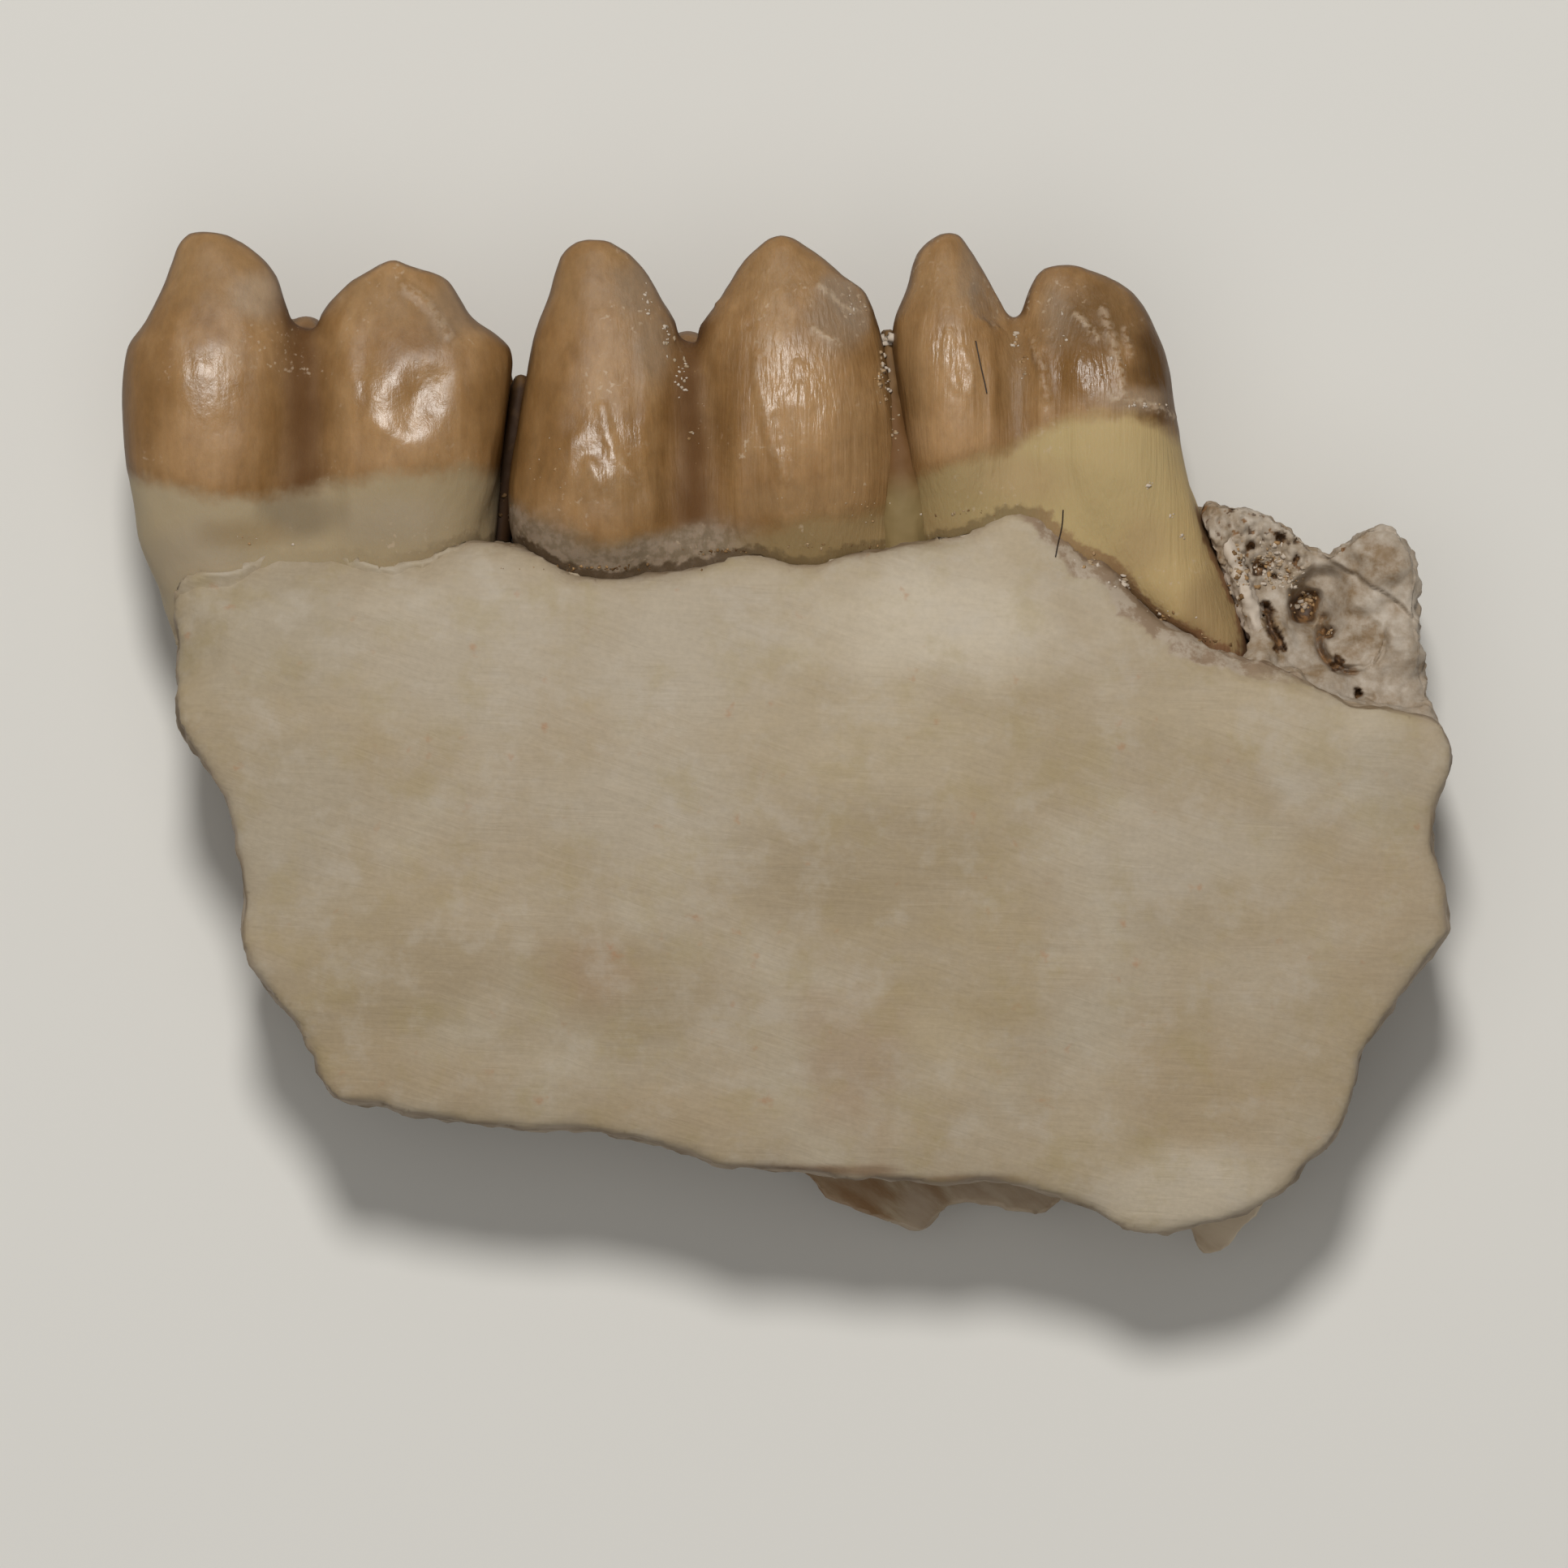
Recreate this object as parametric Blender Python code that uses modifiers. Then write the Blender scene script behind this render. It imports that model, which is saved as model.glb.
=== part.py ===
"""A piece of fossil lower jaw with three cheek teeth, lying on its cheek side.

Run it with: blender --background --python part.py

Sizes are in millimetres and become metres when a piece is finished. +X runs along the tooth row
towards the front of the jaw, +Y runs from the broken lower edge up to the cusp tips, and +Z
points up, from the surface that the cheek side lies on to the tongue side.
"""

import math

import bmesh
import bpy
from mathutils import Matrix, Vector, noise

METRES = 0.001

# The bone
SKIN_VOXEL = 0.2
BONE_TRIANGLES = 3400
BODY_LEFT, BODY_RIGHT, BODY_STATIONS = -13.5, 13.5, 19
RING_STEPS = 3
OUTER_PLATE_TOP = 3.1
SPONGY_TOP = 4.1
TONGUE_PLATE_LOW = 2.6

# The teeth
TOOTH_VOXEL = 0.16
GROOVED_VOXEL = 0.11
TOOTH_TRIANGLES = 1500
SOCKET_GAP = 0.14
LOBE_RING = 22
ROOT_RING = 14

# One cross-section of the whole jaw body, as (y, z), from the tooth side round by the tongue side.
BODY_RING = [
    (6.6, 3.0), (5.4, 4.5), (3.0, 5.1), (0.4, 5.45), (-2.6, 5.4), (-6.0, 5.15), (-9.0, 4.55),
    (-11.4, 3.1), (-10.2, 1.5), (-7.0, 0.4), (-3.4, -0.14), (0.2, -0.1), (3.4, 0.5), (5.6, 1.4),
]

# The tongue-side plate, in four runs of (x, y): the tooth-socket rim, then clockwise the breaks.
SOCKET_RIM = [
    (-11.15, 2.7), (-10.85, 3.2), (-9.85, 3.5), (-9.2, 3.55), (-8.05, 3.5), (-6.9, 3.6),
    (-6.0, 3.75), (-5.3, 3.75), (-4.7, 3.6), (-4.25, 3.35), (-4.0, 3.15), (-3.35, 3.05),
    (-2.5, 3.1), (-1.75, 3.2), (-1.15, 3.35), (-0.8, 3.5), (-0.35, 3.55), (-0.05, 3.4),
    (0.45, 3.35), (1.2, 3.45), (2.1, 3.65), (3.1, 3.9), (3.85, 4.2), (4.35, 4.35),
    (4.65, 4.2), (4.9, 3.9), (5.3, 3.5), (6.05, 3.15), (6.3, 2.7), (6.95, 2.15), (7.5, 1.8),
    (8.15, 1.6), (8.7, 1.5), (9.45, 1.1), (10.15, 0.75), (10.9, 0.65), (11.8, 0.45),
]
FRONT_BREAK = [
    (11.95, 0.25), (12.05, -0.25), (11.95, -0.65), (11.7, -1.0), (11.65, -1.5), (11.7, -2.0),
    (11.9, -2.45), (11.9, -2.95), (12.0, -3.4), (11.7, -3.8), (11.2, -4.4), (10.75, -5.05),
    (10.4, -5.45), (10.35, -6.05), (10.15, -6.65), (9.95, -7.1), (9.35, -7.6), (9.0, -8.05),
]
LOWER_BREAK = [
    (8.4, -8.4), (7.65, -8.7), (7.1, -8.85), (6.5, -8.9), (6.0, -8.75), (5.6, -8.45),
    (5.0, -8.25), (4.3, -8.0), (3.55, -7.9), (2.8, -8.0), (1.95, -7.85), (1.05, -7.85),
    (0.25, -7.75), (-0.55, -7.65), (-1.15, -7.6), (-1.75, -7.35), (-2.5, -7.2), (-3.3, -7.0),
    (-4.0, -6.9), (-4.6, -7.0), (-5.25, -6.9), (-6.0, -6.75), (-6.9, -6.7), (-7.25, -6.55),
    (-8.15, -6.45),
]
REAR_BREAK = [
    (-8.4, -6.05), (-8.55, -5.55), (-8.85, -5.05), (-9.3, -4.55), (-9.65, -4.0), (-9.9, -3.4),
    (-9.75, -2.8), (-9.85, -2.1), (-10.0, -1.5), (-10.1, -1.0), (-10.55, -0.3), (-11.0, 0.4),
    (-11.0, 1.15), (-11.05, 2.1),
]

# The cheek-side plate lies under it and reaches past it in three splinters along the lower edge.
OUTER_RIM = [
    (-10.8, 2.0), (-10.2, 2.7), (-8.2, 3.0), (-6.0, 3.2), (-4.6, 3.15), (-2.4, 2.75), (-0.4, 3.0),
    (2.0, 3.2), (4.3, 3.9), (5.6, 3.3), (6.8, 3.4), (7.55, 4.1), (8.4, 3.95), (9.1, 3.75),
    (9.8, 3.1), (10.6, 3.75), (11.1, 3.5), (11.25, 2.6), (11.4, 1.6), (11.6, 0.4),
]
OUTER_FRONT = [
    (11.7, -0.4), (11.3, -1.3), (11.6, -2.7), (11.6, -3.3), (10.8, -4.5), (10.1, -5.4),
    (9.9, -6.5), (9.2, -7.3), (8.8, -8.05),
]
SPLINTERS = [
    (8.65, -8.5), (8.1, -9.1), (7.85, -9.33), (7.55, -9.2), (7.4, -8.75), (6.6, -8.2),
    (5.2, -8.05), (4.9, -8.45), (4.6, -8.65), (3.9, -8.42), (3.4, -8.35), (2.75, -8.3),
    (2.68, -8.88), (2.45, -8.88), (1.5, -8.6), (0.75, -8.25), (0.4, -7.8), (-0.6, -7.3),
]
OUTER_REAR = [
    (-2.5, -6.9), (-4.5, -6.65), (-7.4, -6.2), (-8.2, -5.6), (-9.1, -4.3), (-9.6, -3.3),
    (-9.5, -2.0), (-9.8, -1.1), (-10.4, 0.0), (-10.75, 0.7),
]

# Spongy bone laid bare in front of the last root, where the tongue-side plate is lost.
SPONGY_OUTLINE = [
    (5.6, -1.0), (5.8, 2.6), (6.8, 3.9), (7.3, 4.4), (7.55, 4.45), (7.95, 4.35), (8.4, 4.25),
    (8.75, 4.1), (9.1, 4.0), (9.25, 3.75), (9.55, 3.45), (9.8, 3.3), (10.15, 3.6), (10.6, 3.95),
    (11.15, 4.0), (11.2, 3.65), (11.4, 3.5), (11.45, 2.9), (11.3, 2.6), (11.45, 1.8),
    (11.6, 1.1), (11.75, 0.5), (11.4, -1.0),
]

# Round root pits in the spongy bone: (x, y, z of the centre, radius).
ROOT_PITS = [(9.45, 2.5, 4.15, 0.62), (10.25, 1.95, 4.2, 0.74)]

# The marrow hollow between the two plates, open along the lower edge: (x, roof y, z, half width).
MARROW_ROUTE = [
    (-13.0, -4.6, 2.9, 0.75), (-8.0, -4.7, 2.9, 0.85), (-2.0, -5.3, 3.0, 1.05),
    (4.0, -5.8, 3.0, 1.15), (9.0, -5.6, 3.0, 1.05), (13.0, -5.2, 3.0, 0.85),
]

# Tongue-side cusps: rows of (y, left x, right x) from the neck to the tip, as the side view shows.
REAR_TOOTH = {
    "name": "molar_rear",
    "neck": (-8.5, 3.4),
    "cusps": [
        [(2.6, -11.3, -9.1), (3.6, -11.72, -9.0), (4.3, -11.86, -8.95), (5.3, -12.0, -8.95),
         (6.45, -12.03, -8.95), (7.2, -11.93, -9.0), (7.6, -11.66, -9.02), (8.07, -11.4, -9.1),
         (8.45, -11.24, -9.2), (8.8, -11.12, -9.42), (9.08, -11.02, -9.75), (9.3, -10.8, -10.2)],
        [(2.6, -8.45, -5.5), (4.1, -8.45, -5.45), (5.3, -8.45, -5.4), (6.45, -8.48, -5.42),
         (7.2, -8.5, -5.45), (7.7, -8.5, -5.62), (8.0, -8.34, -5.82), (8.3, -8.05, -6.02),
         (8.5, -7.8, -6.2), (8.68, -7.45, -6.75), (8.8, -7.25, -7.05)],
    ],
    "pillars": [
        ((-8.72, 2.6), (-8.85, 7.8), 0.75, (1.7, 4.15)),
        ((-5.82, 3.4), (-5.46, 7.5), 0.36, (2.3, 4.2)),
    ],
    "roots": [
        [(4.4, -11.75, -9.2), (2.6, -11.35, -9.1), (0.4, -10.5, -8.8), (-2.0, -9.5, -8.5)],
        [(4.4, -8.2, -5.7), (2.4, -7.95, -5.8), (0.0, -7.6, -6.1), (-3.0, -7.2, -6.4)],
    ],
}
MIDDLE_TOOTH = {
    "name": "molar_middle",
    "neck": (-1.6, 3.2),
    "cusps": [
        [(2.6, -4.7, -2.05), (3.8, -5.0, -2.02), (4.7, -5.02, -2.0), (5.85, -4.88, -2.0),
         (7.0, -4.68, -2.0), (7.65, -4.48, -2.08), (8.2, -4.28, -2.32), (8.7, -4.17, -2.62),
         (9.0, -4.0, -2.95), (9.17, -3.75, -3.25)],
        [(2.6, -1.4, 1.8), (3.8, -1.45, 1.85), (4.7, -1.45, 1.85), (5.85, -1.48, 1.8),
         (7.0, -1.52, 1.72), (7.55, -1.52, 1.68), (7.9, -1.35, 1.57), (8.28, -1.1, 1.38),
         (8.45, -1.0, 1.1), (8.75, -0.8, 0.74), (9.05, -0.52, 0.36), (9.24, -0.25, 0.1)],
    ],
    "pillars": [
        ((-1.7, 2.6), (-1.8, 7.55), 0.75, (1.7, 4.15)),
        ((1.4, 3.4), (1.36, 7.9), 0.38, (2.3, 4.2)),
    ],
    "roots": [
        [(4.4, -4.8, -2.3), (2.2, -4.5, -2.4), (-0.4, -4.2, -2.8), (-3.2, -3.9, -3.1)],
        [(4.4, -1.2, 1.6), (2.2, -1.0, 1.5), (-0.4, -0.5, 1.4), (-3.2, 0.2, 1.2)],
    ],
}
FRONT_TOOTH = {
    "name": "molar_front",
    "neck": (4.5, 4.6),
    "cusps": [
        [(3.4, 2.15, 4.1), (4.2, 2.1, 4.08), (5.0, 2.08, 4.05), (6.0, 2.0, 4.05),
         (7.0, 1.95, 4.05), (7.6, 1.98, 4.05), (7.95, 2.08, 3.93), (8.4, 2.24, 3.67),
         (8.8, 2.3, 3.44), (9.08, 2.5, 3.27), (9.3, 2.86, 3.12)],
        [(3.0, 5.6, 7.85), (3.7, 4.95, 7.6), (4.4, 4.45, 7.4), (5.2, 4.35, 7.2), (6.0, 4.32, 7.07),
         (6.9, 4.28, 6.93), (7.5, 4.25, 6.72), (7.95, 4.3, 6.5), (8.3, 4.42, 6.22),
         (8.52, 4.53, 5.8), (8.7, 4.7, 5.3)],
    ],
    "pillars": [((4.2, 3.4), (4.17, 7.6), 0.6, (1.7, 4.2))],
    "roots": [
        [(5.0, 2.3, 4.3), (2.9, 2.4, 4.2), (0.4, 2.6, 4.0), (-2.4, 2.8, 3.7)],
        [(5.2, 4.5, 7.1), (4.6, 4.6, 7.4), (4.0, 4.95, 7.63), (3.4, 5.3, 7.88), (2.8, 5.85, 8.1),
         (2.3, 6.5, 8.28), (1.8, 7.15, 8.42), (0.6, 7.6, 8.7), (-1.0, 8.1, 8.95)],
    ],
}

# Height shares of a cusp, with the z of its outward and inward walls at each.
TONGUE_WALL = [
    (0.0, 4.55, 2.4), (0.15, 4.8, 2.3), (0.35, 5.12, 2.3), (0.55, 5.15, 2.5), (0.75, 4.85, 2.9),
    (0.9, 4.45, 3.2), (1.0, 4.15, 3.5),
]
CHEEK_WALL = [
    (0.0, 1.5, 3.6), (0.15, 1.15, 3.7), (0.4, 0.8, 3.5), (0.6, 0.9, 3.1), (0.8, 1.25, 2.8),
    (0.93, 1.6, 2.65), (1.0, 1.85, 2.5),
]
ROOT_WALL = [(0.0, 4.25, 1.8), (0.25, 4.6, 1.65), (0.5, 4.45, 1.8), (1.0, 3.6, 2.5)]
TONGUE_CORNER, CHEEK_CORNER = 0.88, 1.2
CHEEK_CUSP_HEIGHT = 0.92
CRESCENT_DEPTH = 0.85
CRESCENT_HALF_WIDTH = 0.24

COLOURS = {
    "bone": (0.40, 0.33, 0.23, 1.0),
    "tooth": (0.36, 0.21, 0.09, 1.0),
}


def clear_scene():
    """Removes every object that the file starts with."""
    for item in list(bpy.data.objects):
        bpy.data.objects.remove(item)


def new_collection(name):
    """A collection of that name in the scene."""
    group = bpy.data.collections.new(name)
    bpy.context.scene.collection.children.link(group)
    return group


def material(name, colour, roughness):
    """A plain Principled finish."""
    made = bpy.data.materials.new(name)
    made.use_nodes = True
    shader = made.node_tree.nodes["Principled BSDF"]
    shader.inputs["Base Color"].default_value = colour
    shader.inputs["Roughness"].default_value = roughness
    shader.inputs["Metallic"].default_value = 0.0
    made.diffuse_color = colour
    return made


def work_object(name, mesh):
    """An object for a shape that is still being worked on, in millimetres."""
    item = bpy.data.objects.new(name, mesh)
    bpy.context.scene.collection.objects.link(item)
    return item


def evaluated_mesh(item):
    """The object's shape with its modifiers applied."""
    bpy.context.view_layer.update()
    graph = bpy.context.evaluated_depsgraph_get()
    return bpy.data.meshes.new_from_object(item.evaluated_get(graph))


def apply_modifiers(item):
    """Replaces the object's mesh by what its modifiers make of it."""
    mesh = evaluated_mesh(item)
    item.modifiers.clear()
    item.data = mesh


def smooth_through(rows, steps, closed=False):
    """Rows of numbers with Catmull-Rom rows between them, steps to a span."""
    count = len(rows)
    spans = count if closed else count - 1
    found = []
    for span in range(spans):
        around = [span - 1, span, span + 1, span + 2]
        if closed:
            a, b, c, d = (rows[i % count] for i in around)
        else:
            a, b, c, d = (rows[min(max(i, 0), count - 1)] for i in around)
        for step in range(steps):
            t = step / steps
            found.append(tuple(
                0.5 * (2 * q + (r - p) * t + (2 * p - 5 * q + 4 * r - s) * t**2
                       + (3 * q - p - 3 * r + s) * t**3)
                for p, q, r, s in zip(a, b, c, d)
            ))
    if not closed:
        found.append(tuple(rows[-1]))
    return found


def interpolate(table, share):
    """The values beside the first column of a table, at a share along it."""
    for low, high in zip(table, table[1:]):
        if share <= high[0]:
            t = (share - low[0]) / (high[0] - low[0])
            return [a + (b - a) * t for a, b in zip(low[1:], high[1:])]
    return list(table[-1][1:])


def loft(shape, rings):
    """Adds a closed skin through rings of points to a bmesh, with a flat cap at each end."""
    made = [[shape.verts.new(point) for point in ring] for ring in rings]
    count = len(rings[0])
    for low, high in zip(made, made[1:]):
        for i in range(count):
            j = (i + 1) % count
            shape.faces.new((low[i], low[j], high[j], high[i]))
    shape.faces.new(list(reversed(made[0])))
    shape.faces.new(made[-1])


def finished_bmesh(name, shape):
    """Turns a bmesh into a work object with its faces pointing out."""
    bmesh.ops.recalc_face_normals(shape, faces=shape.faces)
    mesh = bpy.data.meshes.new(name)
    shape.to_mesh(mesh)
    shape.free()
    return work_object(name, mesh)


def plate(name, outline, low, high):
    """A flat piece of that outline, from z low to z high, made from a filled 2D curve."""
    curve = bpy.data.curves.new(name, "CURVE")
    curve.dimensions = "2D"
    curve.fill_mode = "BOTH"
    curve.extrude = (high - low) / 2
    line = curve.splines.new("POLY")
    line.points.add(len(outline) - 1)
    for point, (x, y) in zip(line.points, outline):
        point.co = (x, y, 0, 1)
    line.use_cyclic_u = True
    drawn = work_object(name + "_curve", curve)
    mesh = evaluated_mesh(drawn)
    bpy.data.objects.remove(drawn)
    mesh.transform(Matrix.Translation((0, 0, (low + high) / 2)))
    shape = bmesh.new()
    shape.from_mesh(mesh)
    bmesh.ops.remove_doubles(shape, verts=shape.verts, dist=0.0001)
    return finished_bmesh(name, shape)


def combine(item, tool, operation):
    """Applies one Boolean to the object and removes the tool."""
    step = item.modifiers.new(operation, "BOOLEAN")
    step.operation = operation
    step.object = tool
    step.solver = "EXACT"
    apply_modifiers(item)
    bpy.data.objects.remove(tool)


def join(name, items):
    """One object that holds all of these closed shapes, which may still cross each other."""
    shape = bmesh.new()
    for item in items:
        shape.from_mesh(item.data)
        bpy.data.objects.remove(item)
    mesh = bpy.data.meshes.new(name)
    shape.to_mesh(mesh)
    shape.free()
    return work_object(name, mesh)


def fuse(item, voxel, rounds):
    """Grows one skin over crossing shapes and softens it."""
    skin = item.modifiers.new("skin", "REMESH")
    skin.mode = "VOXEL"
    skin.voxel_size = voxel
    soften = item.modifiers.new("soften", "SMOOTH")
    soften.factor = 0.5
    soften.iterations = rounds
    apply_modifiers(item)


def thin_out(item, triangles):
    """Brings the object down to about that many triangles, fewest where it is flat."""
    item.modifiers.new("triangles", "TRIANGULATE")
    apply_modifiers(item)
    fewer = item.modifiers.new("fewer", "DECIMATE")
    fewer.ratio = min(1.0, triangles / len(item.data.polygons))
    apply_modifiers(item)


def finish(item, name, origin, finish_material, group):
    """Scales a piece from millimetres to metres, about its own origin, and files it."""
    item.data.transform(Matrix.Translation(-Vector(origin)))
    item.data.transform(Matrix.Scale(METRES, 4))
    item.name = name
    item.data.name = name
    item.location = Vector(origin) * METRES
    item.data.materials.clear()
    item.data.materials.append(finish_material)
    item.data.shade_smooth()
    item.data.set_sharp_from_angle(angle=math.radians(40))
    bpy.context.scene.collection.objects.unlink(item)
    group.objects.link(item)


def oval(y, left, right, low, high, count, corner=0.9):
    """A level ring of points at height y: corner 1 is an ellipse, less is boxier, more is keener."""
    centre_x, centre_z = (left + right) / 2, (low + high) / 2
    half_x, half_z = (right - left) / 2, (high - low) / 2
    ring = []
    for i in range(count):
        angle = 2 * math.pi * i / count
        c, s = math.cos(angle), math.sin(angle)
        x = math.copysign(abs(c) ** corner, c)
        z = math.copysign(abs(s) ** corner, s)
        ring.append((centre_x + half_x * x, y, centre_z + half_z * z))
    return ring


def add_cusp(shape, rows, wall, height, corner, grow):
    """One cusp from neck to tip. Wall gives its two sides in z, and grow widens it all round."""
    base = rows[0][0]
    rings = []
    for y, left, right in smooth_through(rows, 2):
        share = (y - base) / (rows[-1][0] - base)
        sides = sorted(interpolate(wall, share))
        rings.append(oval(
            base + (y - base) * height, left - grow, right + grow,
            sides[0] - grow, sides[1] + grow, LOBE_RING, corner,
        ))
    loft(shape, rings)


def add_root(shape, rows, grow):
    """One root from the neck down to its rounded tip."""
    top, tip = rows[0][0], rows[-1][0]
    rings = []
    for y, left, right in smooth_through(rows, 2):
        sides = sorted(interpolate(ROOT_WALL, (top - y) / (top - tip)))
        rings.append(oval(
            y, left - grow, right + grow, sides[0] - grow, sides[1] + grow, ROOT_RING,
        ))
    last = rings[-1]
    centre = sum((Vector(point) for point in last), Vector()) / len(last)
    end = [centre + (Vector(p) - centre) * 0.4 - Vector((0, 0.35 + grow, 0)) for p in last]
    rings.append([tuple(point) for point in end])
    loft(shape, rings)


def add_pillar(shape, foot, top, half, depths, grow):
    """A leaning pillar that fills the valley between two cusps or stands at the crown's edge."""
    rings = []
    middle = sum(depths) / 2
    for share, width in ((0.0, 1.0), (0.5, 1.0), (0.85, 0.9), (0.96, 0.65), (1.0, 0.35)):
        x, y = (a + (b - a) * share for a, b in zip(foot, top))
        low, high = (middle + (z - middle) * width for z in depths)
        rings.append(oval(
            y, x - half * width - grow, x + half * width + grow, low - grow, high + grow,
            ROOT_RING,
        ))
    loft(shape, rings)


def crescent_cutter(rows):
    """A half-ring groove between a tongue-side cusp and the crescent on its cheek side."""
    y, left, right = rows[-3]
    centre = (rows[-1][1] + rows[-1][2]) / 2
    half = (rows[4][2] - rows[4][1]) / 2 * 0.62
    curve = bpy.data.curves.new("groove", "CURVE")
    curve.dimensions = "3D"
    curve.bevel_depth = CRESCENT_HALF_WIDTH
    curve.bevel_resolution = 2
    curve.use_fill_caps = True
    line = curve.splines.new("POLY")
    turns = 9
    line.points.add(turns - 1)
    for i, point in enumerate(line.points):
        angle = math.pi * (1.0 + i / (turns - 1))
        point.co = (
            centre + half * math.cos(angle), y - CRESCENT_DEPTH,
            3.05 + 0.95 * math.sin(angle), 1,
        )
    drawn = work_object("groove_curve", curve)
    mesh = evaluated_mesh(drawn)
    bpy.data.objects.remove(drawn)
    shape = bmesh.new()
    shape.from_mesh(mesh)
    bmesh.ops.remove_doubles(shape, verts=shape.verts, dist=0.0001)
    bmesh.ops.scale(
        shape, verts=shape.verts, vec=(1, 3.2, 1),
        space=Matrix.Translation((0, -(y - CRESCENT_DEPTH), 0)),
    )
    return finished_bmesh("groove", shape)


def make_tooth(tooth, grow, triangles):
    """A two-lobed cheek tooth, or with grow above 0 the hollow that it needs in the bone."""
    shape = bmesh.new()
    for rows in tooth["cusps"]:
        add_cusp(shape, rows, TONGUE_WALL, 1.0, TONGUE_CORNER, grow)
        add_cusp(shape, rows, CHEEK_WALL, CHEEK_CUSP_HEIGHT, CHEEK_CORNER, grow)
    for rows in tooth["roots"]:
        add_root(shape, rows, grow)
    for foot, top, half, depths in tooth["pillars"]:
        add_pillar(shape, foot, top, half, depths, grow)
    item = finished_bmesh(tooth["name"], shape)
    fuse(item, TOOTH_VOXEL, 5)
    if not grow:
        for rows in tooth["cusps"]:
            combine(item, crescent_cutter(rows), "DIFFERENCE")
        fuse(item, GROOVED_VOXEL, 1)
    thin_out(item, triangles)
    return item


def jaw_body():
    """The whole jaw body before it broke: a loft of oval sections, slimmer towards both ends."""
    shape = bmesh.new()
    rings = []
    for station in range(BODY_STATIONS):
        x = BODY_LEFT + (BODY_RIGHT - BODY_LEFT) * station / (BODY_STATIONS - 1)
        slim = 1 - 0.09 * (x / BODY_RIGHT) ** 2
        ring = smooth_through(BODY_RING, RING_STEPS, closed=True)
        rings.append([(x, y, 2.8 + (z - 2.8) * slim) for y, z in ring])
    loft(shape, rings)
    return finished_bmesh("body", shape)


def layer(name, outline, low, high):
    """The part of the jaw body inside an outline and between two heights."""
    item = jaw_body()
    combine(item, plate(name + "_outline", outline, low, high), "INTERSECT")
    return item


def marrow_hollow():
    """The slot between the two plates, as a loft along the jaw that opens downwards."""
    shape = bmesh.new()
    rings = []
    for x, roof, z, half in smooth_through(MARROW_ROUTE, 3):
        section = [(-13.0, -half * 1.1), (-13.0, half * 1.1)]
        for i in range(7):
            angle = math.pi * i / 6
            section.append((roof - half + half * math.sin(angle), half * math.cos(angle)))
        rings.append([(x, y, z + dz) for y, dz in section])
    loft(shape, rings)
    return finished_bmesh("marrow", shape)


def ball(name, centre, radius):
    """A round cutter."""
    shape = bmesh.new()
    bmesh.ops.create_uvsphere(
        shape, u_segments=16, v_segments=10, radius=radius, matrix=Matrix.Translation(centre),
    )
    return finished_bmesh(name, shape)


def block_below(height):
    """A wide block whose top is at that height."""
    shape = bmesh.new()
    place = Matrix.Translation((0, 0, height - 5)) @ Matrix.Diagonal((60, 60, 10, 1))
    bmesh.ops.create_cube(shape, size=1.0, matrix=place)
    return finished_bmesh("floor", shape)


def roughen(item, bare_height):
    """Breaks up the spongy face, and waves the broken walls and the outer faces a little."""
    for vertex in item.data.vertices:
        x, y, z = vertex.co
        if x > 7.0 and y > 0.2 and abs(z - SPONGY_TOP) < 0.5 and vertex.normal.z > 0.5:
            spot = vertex.co * 1.1
            vertex.co.z += bare_height * noise.noise(spot) - 0.15
        vertex.co += vertex.normal * 0.07 * noise.noise(vertex.co * 0.6)


def make_bone(teeth):
    """The bone: two plates and the spongy bone between, less the sockets, pits and marrow."""
    tongue_outline = SOCKET_RIM + FRONT_BREAK + LOWER_BREAK + REAR_BREAK
    cheek_outline = OUTER_RIM + OUTER_FRONT + SPLINTERS + OUTER_REAR
    item = join("bone", [
        layer("tongue", tongue_outline, TONGUE_PLATE_LOW, 8.0),
        layer("cheek", cheek_outline, -2.0, OUTER_PLATE_TOP),
        layer("spongy", SPONGY_OUTLINE, 1.5, SPONGY_TOP),
    ])
    fuse(item, SKIN_VOXEL, 1)
    roughen(item, 0.55)
    combine(item, marrow_hollow(), "DIFFERENCE")
    for x, y, z, radius in ROOT_PITS:
        combine(item, ball("pit", (x, y, z), radius), "DIFFERENCE")
    thin_out(item, BONE_TRIANGLES)
    for tooth in teeth:
        combine(item, make_tooth(tooth, SOCKET_GAP, TOOTH_TRIANGLES // 3), "DIFFERENCE")
    combine(item, block_below(0.0), "DIFFERENCE")
    return item


def main():
    clear_scene()
    parts = new_collection("fossil_jaw")
    teeth = [REAR_TOOTH, MIDDLE_TOOTH, FRONT_TOOTH]
    bone_finish = material("pale_bone", COLOURS["bone"], 0.6)
    tooth_finish = material("amber_enamel", COLOURS["tooth"], 0.3)
    finish(make_bone(teeth), "jaw_bone", (0, 0, 0), bone_finish, parts)
    for tooth in teeth:
        item = make_tooth(tooth, 0, TOOTH_TRIANGLES)
        x, y = tooth["neck"]
        finish(item, tooth["name"], (x, y, 3.0), tooth_finish, parts)


main()
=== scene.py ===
import math
import random
from functools import partial

import bmesh
import bpy
import numpy as np
from mathutils import Matrix, Vector, kdtree, noise
from mathutils.bvhtree import BVHTree


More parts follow.
